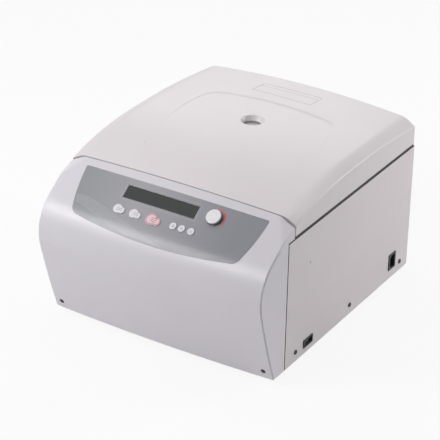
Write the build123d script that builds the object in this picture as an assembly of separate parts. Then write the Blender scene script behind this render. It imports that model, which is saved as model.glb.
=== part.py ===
from build123d import *
import math
import os

# Bench centrifuge for microplates: a steel cabinet with a moulded front cover, a hinged lid with
# a viewport, a stainless chamber, a motor on rubber dampers and a yoke rotor with two swing-out
# plate carriers.  Millimetres, +Z up, the operator faces -Y, and the origin is on the bench under
# the middle of the cabinet.

# ---------------------------------------------------------------- overall and cabinet
BODY_W = 430.0              # width over the side panels
BODY_D = 517.0              # nose of the front cover to the rear edge of the side panels
BODY_H = 310.0              # bench to the crown of the lid
FOOT_H = 12.0
FOOT_R = 16.0
FOOT_FLARE = 2.0
FOOT_EDGE_R = 2.0
FOOT_STUD_R = 3.0
FOOT_STUD_H = 6.0
FOOT_INSET = 50.0           # foot centre to the edges of the base plate
SHEET = 1.5                 # cabinet sheet steel
SHEET_EDGE_R = 0.9
SHEET_GAP = 0.3             # room between sheets that only lie side by side
BASE_SHEET = 2.0
BASE_FLANGE_H = 26.0
PANEL_FLANGE = 16.0         # inward flanges of the side panels
REAR_RECESS = 2.0           # the rear panel lies this far inside the side panels' edge

# ---------------------------------------------------------------- front cover
COVER_SEAM = 86.5           # nose to the seam between the cheek and the side panel
COVER_REACH = 105.2         # nose to the rear wall of the cover, next to the lid
COVER_WALL = 3.0
COVER_GAP = 2.2             # seam between the cover and the side panels
NOSE_R = 75.0
NOSE_TURN = 15.0            # degrees that the nose turns in below its foremost line
LOWER_R = 1500.0             # long arc of the lower front
PANEL_SLOPE = 35.0          # degrees of the control panel from level
BOW = 6.5                   # the front bulges this much in plan
CHEEK_DRAFT = 1.0           # the cheeks lean in by this much from the seam to the nose
CHEEK_EDGE_R = 2.0
CHEEK_LINE_SET = 1.6        # accent groove of a cheek behind the edge of the front
CHEEK_LINE_W = 1.0
CHEEK_LINE_DEPTH = 1.8
CHEEK_LINE_TURN_R = 40.0
CHEEK_LINE_END = 13.0       # groove runs out this far in front of the seam
CHEEK_LINE_FADE = 30.0      # length over which it runs out
COVER_CREASE_R = 12.0
COVER_SCREW_Z = 27.0
COVER_SCREW_INSET = 15.0    # screw axis to the cheek's outside
COVER_BOSS_R = 6.0
COVER_SCREW_SINK = 2.6      # heads sit this deep in the cover
COVER_SCREW_L = 15.0
COVER_SPAN = 12.5           # cover's face to the front flange of the base, at the screws
SHOULDER_FADE = 36.0        # the lid's shoulder runs out this far in front of the lid

# ---------------------------------------------------------------- control panel
OVERLAY_T = 0.4             # film's face above the cover
OVERLAY_GLUE = 0.05         # film's underside above the cover
OVERLAY_TOP = 15.5          # distance down the slope from the lid's parting line
OVERLAY_H = 101.5
OVERLAY_HALF_TOP = 175.0
OVERLAY_HALF_LOW = 157.0
OVERLAY_CORNER_R = 16.0
OVERLAY_SAG = 14.5          # the lower edge bows down by this much
OVERLAY_SIDE_BULGE = 3.5
OVERLAY_TOP_R = 2.0
DISPLAY_W = 136.5
DISPLAY_H = 23.5
DISPLAY_X = -15.0
DISPLAY_S = 40.2            # centre of the display down the slope
DISPLAY_T = 1.2
DISPLAY_SINK = 0.8          # window's face below the cover's surface
DISPLAY_PLAY = 0.2
DISPLAY_LEDGE = 3.0
MODULE_BORDER = 5.0         # display module beyond its window
MODULE_T = 9.0
MODULE_GAP = 0.9
SPACER_R = 2.5
SPACER_INSET = 3.5
BOARD_DEPTH = 24.0          # control board's face below the panel surface
BOARD_T = 1.6
BOARD_W = 232.0
BOARD_H = 72.0
BOARD_X = 6.0
BOARD_S = 59.0
BOARD_POST_R = 4.0
BOARD_POST_INSET = 7.0
KEY_S = 74.8                # row of keys, down the slope
KEY_GAP = 0.3               # key to its hole
KEY_RISE = 1.6              # keys stand out by this much
KEY_EDGE_R = 0.8
KEY_TRAVEL = 0.8
KEY_STEM_R = 2.5
KEY_LIP_GAP = 0.7           # lip to the cover's inside
KEY_LIP = 1.2               # retaining lip of a key, under the cover
KEY_LIP_T = 1.2
SWITCH_SIZE = 6.0
SWITCH_BODY_H = 3.5
SWITCH_PLUNGER_R = 1.7
SWITCH_PLUNGER_H = 1.5
ROUND_KEY_R = 6.2
LOBE_R = 8.0
LOBE_SMALL_R = 5.6
LOBE_OFFSET = 3.0           # big lobe's centre from the key's axis
LOBE_SMALL_OFFSET = 5.4     # small lobe's centre from the key's axis
LOBE_LOWER = 1.5
LOBE_WAIST_R = 3.0
KNOB_X = 86.3
KNOB_S = 40.9
KNOB_R = 13.4
KNOB_H = 6.0
KNOB_CAP_T = 2.2
KNOB_EDGE_R = 1.0
KNOB_FLOAT = 0.6            # knob's underside above the overlay
KNOB_STEP = 0.6             # cap inside the grip's edge
KNOB_GROOVES = 24
KNOB_GROOVE_R = 0.7
KNOB_SOCKET_TOP = 1.2
ENCODER_SHAFT_R = 3.0
ENCODER_BUSH_R = 5.0
BUSH_GAP = 0.5
ENCODER_SIZE = 13.0
ENCODER_BODY_H = 7.0
RUNNING_GAP = 0.05          # radial clearance of shafts and pins in their bores
FIT_GAP = 0.02              # radial clearance of pieces that are fixed in each other

# ---------------------------------------------------------------- lid
LID_GAP = 4.2               # lid to the side panels
PARTING_GAP = 2.4           # lid to the rear wall of the front cover
LID_RISE = 26.9             # crown above the parting line
PARTING_RISE = 38.1         # parting line above the side panels
LID_STEP = 0.5              # lid's front edge above the cover's
LID_WALL = 3.0
LID_APEX_SET = 7.5          # highest line of the lid in front of the viewport
LID_REAR_DROP = 4.2
LID_REAR_SET = 1.5          # rear wall of the lid inside the rear edge
LID_CROWN_FRONT = 3.6       # centre to shoulder, at the parting line
LID_CROWN_REAR = 10.6       # centre to shoulder, at the rear
LID_SHOULDER_W = 19.5
CREASE_TOP = 16.0           # crown to the crease on the lid's side
CREASE_FRONT_DROP = 25.0    # crease falls this much towards the front
CREASE_REAR_DROP = 12.5     # and this much towards the rear
CREASE_FRONT_POWER = 3.0    # and stays high for longer towards the front
CREASE_REAR_POWER = 2.0
SHOULDER_R = 36.0           # soft edge above the shoulder
CREASE_R = 4.0              # firmer edge below the shoulder
LID_STATIONS = 9            # cross sections that shape the lid
SHOULDER_W = 24.0           # shoulder at the top corners of the front cover
SHOULDER_DROP = 12.0
SHOULDER_DEPTH = 4.9        # its upper end below the parting line
LID_FRONT_R = 1.0
LID_REAR_R = 3.5
LID_BOSS_R = 5.0
LID_BOSS_INSET = 28.0
LINER_T = 1.5
LINER_RISE = 2.0            # liner above the lid's lower edge
LINER_MARGIN = 4.0          # liner to the lid's inside
LINER_LIP = 8.0
LINER_REAR_GAP = 3.0        # liner to the hinge ears
PLATEAU_HALF_W = 127.0      # shallow dished field around the viewport
PLATEAU_REAR = 66.0         # viewport to the rear edge of the field
PLATEAU_FRONT = 118.0       # viewport to the line where the field fades out
PLATEAU_DEPTH = 1.2
PLATEAU_CORNER_R = 26.0
PLATEAU_EDGE_W = 4.6        # width of its sloping edge
PORT_R = 14.5               # clear view through the lid
PORT_RIM_R = 21.0
PORT_LIP_R = 1.2            # rounded lip of the recess
PORT_SEAT_R = 17.2          # seat of the pane, level with the rim at its front
PORT_SINK = 9.0             # pane's face below the crown
PORT_PLAY = 0.2
PORT_PANE_T = 2.5
PORT_BOSS_R = 24.0
PORT_BOSS_H = 16.0
TUBE_WALL = 3.0

# ---------------------------------------------------------------- hinge
HINGE_INSET = 65.0          # middle of a hinge to the outside of the side panel
HINGE_Y_INSET = 5.5         # hinge axis in front of the rear edge
HINGE_Z_RISE = 17.0         # hinge axis above the side panels
HINGE_PIN_R = 3.0
HINGE_EAR_R = 5.0
HINGE_EAR_T = 4.0
HINGE_W = 40.0              # over the two ears of a bracket
HINGE_FOOT_T = 2.5
HINGE_FOOT_L = 22.0
HINGE_SIDE_GAP = 0.5
HINGE_ARM_T = 3.0
HINGE_ARM_L = 46.0
NOTCH_GAP = 3.0             # lid's rear wall to the hinge ears

# ---------------------------------------------------------------- chamber and deck
DECK_T = 1.5
CHAMBER_DEPTH = 128.0       # deck to the chamber's floor
CHAMBER_WALL = 1.2
CHAMBER_CORNER_R = 18.0
CHAMBER_FLANGE = 6.0
CHAMBER_REAR = 22.0         # chamber's inside to the rear edge of the cabinet
CHAMBER_FRONT = 59.8        # chamber's inside to the parting line
CHAMBER_HOLE_R = 32.0
DECK_HOLE_GAP = 0.5
GASKET_W = 4.0
GASKET_SET = 0.8            # gasket inside the rim's edge
SEAL_GAP = 0.3              # gasket to the closed lid
EDGE_SEAL_W = 4.0           # rubber strips on the side panels' upper edges, under the lid
EDGE_SEAL_H = 3.0

# ---------------------------------------------------------------- lid lock
LOCK_SET = 25.0             # lock axis behind the parting line
HOOK_T = 5.0
HOOK_W = 20.0
HOOK_REACH = 35.0           # hook below the liner
HOOK_FOOT_W = 34.0
HOOK_FOOT_T = 2.0
HOOK_SIDE_GAP = 2.5
HOOK_FRONT_GAP = 5.0
HOOK_TIP_R = 4.0
HOOK_TIP = 7.5              # pawl axis above the hook's tip
HOOK_REAR_GAP = 3.0
LOCK_WALL = 8.0
LOCK_END_WALL = 4.0
LOCK_BLIND_GAP = 4.0        # pushed-out pawl to the blind end of its bore
LOCK_H = 44.0
PAWL_R = 3.4
PAWL_WINDOW_GAP = 1.0
PAWL_TRAVEL = 12.0
PAWL_PARK = 3.5             # parked tip to the hook's side
PAWL_L = 44.0
PAWL_CHAMFER = 1.1
SOLENOID_L = 34.0
SOLENOID_SIZE = 24.0
SOLENOID_EDGE_R = 2.0

# ---------------------------------------------------------------- motor and shaft
SHAFT_R = 8.0
MOTOR_R = 55.0
MOTOR_REST = 12.0           # motor above the base plate
MOTOR_WALL = 4.0
MOTOR_PLATE = 190.0
MOTOR_PLATE_T = 5.0
MOTOR_PLATE_DROP = 16.0     # top of the motor plate below the chamber's floor
MOTOR_BORE_GAP = 0.5
STATOR_T = 18.0
STATOR_GAP = 3.0            # stator to the bearing below and the cap above
MAGNET_GAP = 1.0            # air gap of the motor
END_CAP_T = 4.0
BEARING_R = 15.0
BEARING_W = 9.0
SPIGOT_R = 24.0
SPIGOT_RISE = 3.0
SHAFT_END_GAP = 1.0
SHAFT_COLLAR = 4.0
SHAFT_COLLAR_H = 6.0
DAMPER_R = 13.0
DAMPER_H = 22.0
DAMPER_STUD_R = 3.0
DAMPER_INSET = 17.0         # damper centres to the edges of the motor plate
PILLAR_R = 9.0
BOOT_WALL = 2.0
BOOT_FLARE = 10.0
BOOT_LIP = 4.0
BOOT_PLAY = 0.3

# ---------------------------------------------------------------- rotor and carriers
PLATE_L = 127.8             # footprint of a standard microplate
PLATE_W = 85.5
PLATE_GAP = 0.5             # play of a plate in its carrier, all round
CARRIER_WALL = 2.0
CARRIER_FLOOR = 2.0
CARRIER_DROP = 56.0         # trunnion axis to the underside of a carrier
CARRIER_SIDE_H = 28.0
CARRIER_LUG_H = 10.0        # end wall above the trunnion axis
CARRIER_LUG_R = 9.0
CARRIER_LUG_HALF = 14.0
CARRIER_PAD_T = 2.0
CARRIER_GRIP_R = 20.0
CARRIER_GRIP_RISE = 6.0     # centre of the grip cut-outs above the side walls
TRUNNION_RADIUS = 72.0      # rotor axis to trunnion axis
TRUNNION_RISE = 74.0        # trunnion axis above the chamber's floor
TRUNNION_PIN_R = 4.0
TRUNNION_BOSS_R = 8.0
TRUNNION_BOSS_T = 2.5
TRUNNION_SIDE_GAP = 0.7
YOKE_ARM_T = 6.0
YOKE_ARM_H = 22.0
YOKE_ARM_END = 13.0         # arm beyond the trunnion axis
YOKE_END_R = 9.9
YOKE_BAR_W = 20.0
YOKE_BAR_H = 18.0
HUB_R = 23.0
HUB_H = 36.0
HUB_DROP = 4.5              # middle of the hub below the trunnion axis
NUT_R = 14.0
NUT_H = 12.0
THREAD_R = 6.0
NUT_SEAT = 2.0
NUT_EDGE_R = 1.5
NUT_GROOVES = 16

# ---------------------------------------------------------------- electrics
DRIVE_BOARD_W = 130.0
DRIVE_BOARD_D = 84.0
DRIVE_BOARD_T = 1.6
DRIVE_BOARD_RISE = 8.0      # board above the base plate, on its posts
DRIVE_BOARD_POST_R = 4.0
DRIVE_BOARD_X = -120.0
DRIVE_BOARD_SET = 14.0      # board behind the front flange of the base
SINK_W = 70.0
SINK_D = 40.0
SINK_H = 34.0
SINK_FINS = 8
SINK_FIN_T = 2.0
SINK_BASE_T = 4.0
CAP_R = 12.5
CAP_H = 36.0
CAP_GAP = 5.0
CAP_SET = 32.5              # capacitors beside the middle of the board
INLET_SET = 60.5            # middle of the inlet to the rear edge
INLET_Z = 45.0
INLET_W = 24.0
INLET_H = 31.0
INLET_FACE_T = 1.5
INLET_DEPTH = 26.0
INLET_MOUTH_W = 16.6
INLET_MOUTH_H = 24.4
INLET_MOUTH_DEPTH = 17.0
INLET_CORNER = 4.5
INLET_BORDER = 1.6
INLET_EDGE_R = 1.0
PIN_L = 11.5
PIN_T = 2.0
PIN_W = 4.0
PIN_PITCH = 7.0
PIN_STAGGER = 4.0
SWITCH_SET = 76.0           # middle of the switch behind the seam
SWITCH_Z = 31.0
SWITCH_W = 30.0
SWITCH_H = 15.0
SWITCH_FACE_T = 1.5
SWITCH_DEPTH = 22.0
SWITCH_BORDER = 2.2
SWITCH_LAND = 0.6
ROCKER_TILT = 9.0           # degrees either side of level
ROCKER_T = 7.0
ROCKER_HORN = 2.2           # ends of the rocker outside its pivot
ROCKER_DISH = 1.4           # its middle lies lower than its ends
ROCKER_SLANT = 1.4
ROCKER_TAPER = 1.2          # each end is shorter inside by this much
ROCKER_NOSE = 0.5
ROCKER_GAP = 0.4
ROCKER_PIN_R = 1.5
ROCKER_STUB = 0.8
ROCKER_SINK = 2.6           # pivot inside the panel's face

# ---------------------------------------------------------------- screws and vents
SCREW_HEAD_R = 4.0
SCREW_HEAD_H = 1.8
SCREW_EDGE_R = 0.8
SCREW_R = 2.0
SCREW_L = 8.0
SCREW_HOLE_GAP = 0.3
SCREW_SEAT_GAP = 0.5
RECESS_W = 1.0              # cross recess in the heads
RECESS_L = 4.4
RECESS_DEPTH = 1.0
DECK_SCREW_INSET = 16.0
REAR_SCREW_INSET = 28.0
SIDE_SCREW_Z = 30.0
SIDE_SCREW_FRONT = 35.4     # first side screw behind the seam
SIDE_SCREW_REAR = 29.8      # last side screw to the rear edge
RELEASE_HOLE_R = 1.5        # opening for releasing a locked lid by hand
RELEASE_HOLE_SET = 73.2     # behind the seam
RELEASE_HOLE_DROP = 64.3    # below the panel's top edge
LID_PIN_R = 1.0             # small blind pin mark in the lid
LID_PIN_X = -118.0
LID_PIN_SET = 73.0          # behind the parting line
LID_PIN_DEPTH = 1.5
VENT_ROWS = 9
VENT_COLUMNS = 4
VENT_L = 42.0
VENT_W = 3.0
VENT_PITCH = 9.0
VENT_COLUMN_PITCH = 60.0
VENT_Z = 128.0

# ---------------------------------------------------------------- derived places
HALF_W = BODY_W / 2
REAR_Y = BODY_D / 2
NOSE_Y = -BODY_D / 2
SEAM_Y = NOSE_Y + COVER_SEAM
COVER_REAR_Y = NOSE_Y + COVER_REACH
PARTING_Z = BODY_H - LID_RISE
SIDE_TOP = PARTING_Z - PARTING_RISE
SIDE_IN = HALF_W - SHEET                        # inside of the side panels
BASE_TOP = FOOT_H + BASE_SHEET
REAR_PANEL_OUT = REAR_Y - REAR_RECESS
REAR_PANEL_IN = REAR_PANEL_OUT - SHEET
REAR_FLANGE_IN = REAR_PANEL_IN - SHEET
DECK_UNDER = SIDE_TOP - DECK_T
SLOPE = math.radians(PANEL_SLOPE)
BOW_R = (HALF_W ** 2 + BOW ** 2) / (2 * BOW)
BOW_AXIS = Axis((0, NOSE_Y + BOW_R, 0), (0, 0, 1))
NOSE_TOP_Y = NOSE_Y + NOSE_R * (1 - math.sin(SLOPE))
NOSE_TOP_Z = PARTING_Z - (COVER_REAR_Y - NOSE_TOP_Y) * math.tan(SLOPE)
NOSE_Z = NOSE_TOP_Z - NOSE_R * math.cos(SLOPE)
PANEL = Plane((0, COVER_REAR_Y, PARTING_Z), x_dir=(1, 0, 0), z_dir=(0, -math.sin(SLOPE), math.cos(SLOPE)))
LID_FRONT_Y = COVER_REAR_Y + PARTING_GAP
LID_REAR_Y = REAR_Y - LID_REAR_SET
LID_BOTTOM = SIDE_TOP + LID_GAP
LID_FRONT_DROP = LID_RISE - LID_STEP
LINER_Z = LID_BOTTOM + LINER_RISE
LINER_TOP = LINER_Z + LINER_T
HINGE_Y = REAR_Y - HINGE_Y_INSET
HINGE_Z = SIDE_TOP + HINGE_Z_RISE
CHAMBER_R = (REAR_Y - CHAMBER_REAR - COVER_REAR_Y - CHAMBER_FRONT) / 2
CHAMBER_Y = REAR_Y - CHAMBER_REAR - CHAMBER_R
LID_APEX_Y = CHAMBER_Y - LID_APEX_SET
PORT_Y = CHAMBER_Y - (PORT_RIM_R - PORT_SEAT_R)
CHAMBER_FLOOR = SIDE_TOP - CHAMBER_DEPTH
CHAMBER_RIM_R = CHAMBER_R + CHAMBER_WALL + CHAMBER_FLANGE
CHAMBER_RIM_TOP = SIDE_TOP + CHAMBER_WALL
LOCK_Y = COVER_REAR_Y + LOCK_SET
MOTOR_PLATE_TOP = CHAMBER_FLOOR - MOTOR_PLATE_DROP
MOTOR_TOP = MOTOR_PLATE_TOP - MOTOR_PLATE_T
MOTOR_BOTTOM = BASE_TOP + MOTOR_REST
DAMPER_SPREAD = MOTOR_PLATE / 2 - DAMPER_INSET
TRUNNION_Z = CHAMBER_FLOOR + TRUNNION_RISE
POCKET_HALF_L = PLATE_L / 2 + PLATE_GAP
POCKET_HALF_W = PLATE_W / 2 + PLATE_GAP
CARRIER_HALF_L = POCKET_HALF_L + CARRIER_WALL
CARRIER_HALF_W = POCKET_HALF_W + CARRIER_WALL
YOKE_INSIDE = CARRIER_HALF_L + TRUNNION_BOSS_T + TRUNNION_SIDE_GAP
YOKE_OUTSIDE = YOKE_INSIDE + YOKE_ARM_T
HUB_BOTTOM = TRUNNION_Z - HUB_H / 2 - HUB_DROP
HUB_TOP = HUB_BOTTOM + HUB_H
PANEL_RUN = BODY_D / 2                          # sloped line, carried on past the lid's front edge
SHOULDER_Z = PARTING_Z - SHOULDER_DEPTH
LINER_REAR = HINGE_Y - HINGE_EAR_R - LINER_REAR_GAP
HOOK_TIP_Z = LINER_Z - HOOK_REACH
PAWL_Z = HOOK_TIP_Z + HOOK_TIP
LOCK_HALF_W = HOOK_T / 2 + HOOK_SIDE_GAP + LOCK_WALL
DECK_FRONT = COVER_REAR_Y - COVER_WALL
CAN_BOTTOM = MOTOR_BOTTOM + END_CAP_T
UPPER_BEARING_Z = MOTOR_TOP - MOTOR_WALL
STATOR_LOW = CAN_BOTTOM + BEARING_W + STATOR_GAP
STATOR_HIGH = MOTOR_TOP - MOTOR_WALL - STATOR_GAP
ROCKER_PIVOT_X = HALF_W - ROCKER_SINK
INLET_Y = REAR_Y - INLET_SET
SWITCH_Y = SEAM_Y + SWITCH_SET
FAR = 1000.0                                    # longer than any piece, for cutting tools
MARGIN = 10.0                                   # cutting tools reach this far past the form
TOUCH = 1e-3                                    # places closer than this are the same

KEYS = (("start_key", -77.2, "lobed", 1.0), ("mode_key", -45.7, "lobed", 1.0),
        ("stop_key", -10.6, "lobed", 1.28), ("step_key_1", 27.1, "round", 1.0),
        ("step_key_2", 43.2, "round", 1.0), ("step_key_3", 60.5, "round", 1.0))


# ---------------------------------------------------------------- general helpers
def block(x0, x1, y0, y1, z0, z1):
    """Box between two corners."""
    return Pos((x0 + x1) / 2, (y0 + y1) / 2, (z0 + z1) / 2) * Box(x1 - x0, y1 - y0, z1 - z0)


def rod(start, direction, length, radius):
    """Cylinder from a point along a direction."""
    low = (Align.CENTER, Align.CENTER, Align.MIN)
    return Plane(start, z_dir=direction) * Cylinder(radius, length, align=low)


def post(x, y, z0, z1, radius):
    """Upright cylinder between two heights."""
    return rod((x, y, z0), (0, 0, 1), z1 - z0, radius)


def ring(x, y, z0, z1, inner, outer):
    """Upright tube between two heights."""
    return post(x, y, z0, z1, outer) - post(x, y, z0 - MARGIN, z1 + MARGIN, inner)


def screw(head_base, outward, length=SCREW_L):
    """Pan-head screw with a cross recess; its head sits on head_base and points outward."""
    seat = Plane(head_base, z_dir=outward)
    head = Cylinder(SCREW_HEAD_R, SCREW_HEAD_H, align=(Align.CENTER, Align.CENTER, Align.MIN))
    head = fillet(head.edges().group_by(Axis.Z)[-1], SCREW_EDGE_R)
    shank = Cylinder(SCREW_R, length, align=(Align.CENTER, Align.CENTER, Align.MAX))
    low = (Align.CENTER, Align.CENTER, Align.MIN)
    cross = Box(RECESS_L, RECESS_W, SCREW_HEAD_H, align=low)
    cross += Box(RECESS_W, RECESS_L, SCREW_HEAD_H, align=low)
    return seat * (head + shank - Pos(0, 0, SCREW_HEAD_H - RECESS_DEPTH) * cross)


def screw_hole(head_base, outward, length=SCREW_L):
    """Clearance for a screw's shank through the sheets under its head."""
    inward = Vector(*outward) * -1
    start = Vector(*head_base) - inward * SCREW_HEAD_H
    return rod(start, inward, length + 2 * SCREW_HEAD_H, SCREW_R + SCREW_HOLE_GAP)


def group(solids):
    """Several separate solids kept together under one name."""
    return Compound(children=list(solids))


def save(name, shape):
    """Write one piece."""
    export_step(shape, os.path.join("parts", name + ".step"))


def bow_at(x):
    """How far the bowed front lies behind its middle at a distance x from it."""
    return BOW_R - math.sqrt(BOW_R ** 2 - x ** 2)


def panel_plane(x, s, rise=0.0):
    """Plane on the control panel at x, s down the slope, rise above the surface."""
    down = Vector(0, -math.cos(SLOPE), -math.sin(SLOPE))
    spot = PANEL.origin + Vector(x, bow_at(x), 0) + down * s + PANEL.z_dir * rise
    return Plane(spot, x_dir=(1, 0, 0), z_dir=PANEL.z_dir)


# ---------------------------------------------------------------- front cover
def front_profile(inset):
    """Side outline of the front: lower arc, nose and sloped panel, moved in by inset."""
    apex = (NOSE_Y + inset, NOSE_Z)
    upper = JernArc(apex, (0, 1), NOSE_R - inset, -(90 - PANEL_SLOPE))
    panel_end = upper @ 1 + Vector(math.cos(SLOPE), math.sin(SLOPE)) * PANEL_RUN
    panel = Line(upper @ 1, panel_end)
    turn = JernArc(apex, (0, -1), NOSE_R - inset, NOSE_TURN)
    start = turn @ 1
    end_sine = math.sin(math.radians(NOSE_TURN)) + start.Y / (LOWER_R - inset)
    sweep_angle = math.degrees(math.asin(end_sine)) - NOSE_TURN
    lower = JernArc(start, turn % 1, LOWER_R - inset, sweep_angle)
    corner = (panel_end.X, (lower @ 1).Y)
    edges = [lower, turn, upper, panel, Line(panel_end, corner), Line(corner, lower @ 1)]
    return Plane.YZ * make_face(edges)


def lower_front_y(z):
    """Where the lower front lies at a height, in the middle of the cabinet."""
    turn = math.radians(NOSE_TURN)
    start_z = NOSE_Z - NOSE_R * math.sin(turn)
    sine = math.sin(turn) + (start_z - z) / LOWER_R
    return NOSE_Y + NOSE_R * (1 - math.cos(turn)) + LOWER_R * (math.cos(turn) - math.sqrt(1 - sine ** 2))


def bowed(profile):
    """Turn a side outline about the far upright axis that gives the front its bow."""
    angle = 2 * math.degrees(math.asin((HALF_W + MARGIN) / (BOW_R - BODY_D)))
    return revolve(profile, BOW_AXIS, angle).rotate(BOW_AXIS, -angle / 2)


def cheek_prism(inset):
    """Room between the cheeks, seen from above, with their draft."""
    half = HALF_W - inset
    nose_half = half - CHEEK_DRAFT
    front = NOSE_Y - BOW
    outline = Polyline((-half, FAR), (-half, SEAM_Y), (-nose_half, NOSE_Y), (-nose_half, front),
                       (nose_half, front), (nose_half, NOSE_Y), (half, SEAM_Y), (half, FAR), close=True)
    return extrude(Pos(0, 0, FOOT_H) * make_face(outline), BODY_H)


def shoulder_wedge(side, inset):
    """Wedge above one top corner of the front cover, where the lid's shoulder runs out."""
    edge_x = side * (HALF_W - inset)
    fade_y = COVER_REAR_Y - SHOULDER_FADE
    fade_z = PARTING_Z - (SHOULDER_FADE + bow_at(HALF_W)) * math.tan(SLOPE) - inset
    crease = (side * (HALF_W - SHOULDER_W), COVER_REAR_Y, SHOULDER_Z - inset)
    low = (edge_x, COVER_REAR_Y, SHOULDER_Z - SHOULDER_DROP)
    face = Plane(Face(Wire.make_polygon([crease, low, (edge_x, fade_y, fade_z)], close=True)))
    if face.z_dir.Z < 0:
        face = -face
    return face * Box(FAR, FAR, BODY_H / 2, align=(Align.CENTER, Align.CENTER, Align.MIN))


def cover_form(inset):
    """Solid form of the front cover, moved in by inset."""
    form = bowed(front_profile(inset)) & cheek_prism(inset)
    for side in (-1, 1):
        form -= shoulder_wedge(side, inset)
    return form


def cover_outline():
    """Outer form of the front cover, ended at the seam below and at the lid above."""
    below = block(-FAR, FAR, -FAR, SEAM_Y, 0, FAR)
    above = block(-FAR, FAR, -FAR, COVER_REAR_Y, SIDE_TOP + COVER_GAP, FAR)
    form = cover_form(0) & (below + above)
    form = fillet(form.edges().filter_by(GeomType.ELLIPSE), COVER_CREASE_R)
    return fillet([e for e in form.edges() if is_cheek_edge(e)], CHEEK_EDGE_R)


def is_cheek_edge(edge):
    """Whether an edge runs where a cheek or a shoulder meets the front."""
    run = (edge @ 1) - (edge @ 0)
    if edge.geom_type == GeomType.LINE:
        return abs(edge.center().X) > HALF_W - CHEEK_DRAFT and min(abs(run.Y), abs(run.Z)) > CHEEK_EDGE_R
    in_front = edge.center().Y < SEAM_Y - SHEET and abs(edge.center().X) > HALF_W / 2
    return in_front and (edge @ 0).Z + (edge @ 1).Z > 2 * FOOT_H + CHEEK_EDGE_R


def cheek_half(y):
    """Half of the width over the cheeks at a place along the cabinet."""
    return HALF_W - CHEEK_DRAFT * (SEAM_Y - y) / COVER_SEAM


def cheek_side(inset):
    """Side form of the cheeks, moved in by inset, with its upper end turned level."""
    profile = extrude(Pos(0, BOW, 0) * front_profile(inset), HALF_W + MARGIN, both=True)
    form = profile & block(-FAR, FAR, -FAR, SEAM_Y - CHEEK_LINE_END, 0, SIDE_TOP - inset)
    level = [e for e in form.edges().filter_by(Axis.X) if abs(e.center().Z - SIDE_TOP + inset) < TOUCH]
    return fillet(min(level, key=lambda e: e.center().Y), CHEEK_LINE_TURN_R)


def cheek_grooves():
    """Accent grooves that follow the front on both cheeks and run out at their upper ends."""
    end_y = SEAM_Y - CHEEK_LINE_END
    fade_y = end_y - CHEEK_LINE_FADE
    deep = cheek_half(fade_y) - CHEEK_LINE_DEPTH
    shallow = cheek_half(end_y)
    ramp = make_face(Polyline((-deep, fade_y), (deep, fade_y), (shallow, end_y), (-shallow, end_y),
                              close=True))
    band = cheek_side(CHEEK_LINE_SET) - cheek_side(CHEEK_LINE_SET + CHEEK_LINE_W)
    return band - cheek_prism(CHEEK_LINE_DEPTH) - extrude(Pos(0, 0, NOSE_Z) * ramp, BODY_H)


def cover_screw_spots():
    """Where the cover's two screw heads sit, and their outward direction."""
    x = HALF_W - CHEEK_DRAFT - COVER_SCREW_INSET
    y = lower_front_y(COVER_SCREW_Z) + bow_at(x) + COVER_SCREW_SINK
    return [(side * x, y, COVER_SCREW_Z) for side in (-1, 1)]


def base_front():
    """Front face of the base plate's flange, which the cover's bosses meet."""
    return cover_screw_spots()[0][1] - COVER_SCREW_SINK + COVER_SPAN


def board_posts():
    """Axes of the moulded posts that carry the control board."""
    dx = BOARD_W / 2 - BOARD_POST_INSET
    ds = BOARD_H / 2 - BOARD_POST_INSET
    return [(BOARD_X + i * dx, BOARD_S + j * ds) for i in (-1, 1) for j in (-1, 1)]


def flat_plane(x, s, rise):
    """Plane over the level middle of the control panel, where the flat parts lie."""
    spot = PANEL.origin + Vector(x, -s * math.cos(SLOPE), -s * math.sin(SLOPE)) + PANEL.z_dir * rise
    return Plane(spot, x_dir=(1, 0, 0), z_dir=PANEL.z_dir)


def board_rise(x, height):
    """Rise over the bowed surface at x of a point this high above the control board."""
    return bow_at(x) * math.sin(SLOPE) - BOARD_DEPTH + height


def display_opening():
    """Stepped opening of the display, with the ledge that its window is glued to."""
    bed = flat_plane(DISPLAY_X, DISPLAY_S, -DISPLAY_SINK - DISPLAY_T)
    low = (Align.CENTER, Align.CENTER, Align.MIN)
    seat = bed * Box(DISPLAY_W + 2 * DISPLAY_PLAY, DISPLAY_H + 2 * DISPLAY_PLAY, BOARD_DEPTH, align=low)
    view = bed * Box(DISPLAY_W - 2 * DISPLAY_LEDGE, DISPLAY_H - 2 * DISPLAY_LEDGE, BOARD_DEPTH)
    return seat + view


def key_outline(kind, size, grow=0.0):
    """Top view of a key: a plain disc, or a large and a small lobe side by side."""
    if kind == "round":
        return Circle(ROUND_KEY_R + grow)
    big = Pos(-LOBE_OFFSET * size, 0) * Circle(LOBE_R * size + grow)
    small = Pos(LOBE_SMALL_OFFSET * size, -LOBE_LOWER * size) * Circle(LOBE_SMALL_R * size + grow)
    outline = big + small
    return fillet(outline.vertices(), LOBE_WAIST_R)


def panel_prism(outline, x, s, low, high):
    """Straight prism of an outline through the bowed panel, between two rises."""
    return extrude(panel_plane(x, s, low) * outline, high - low, dir=PANEL.z_dir)


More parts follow.
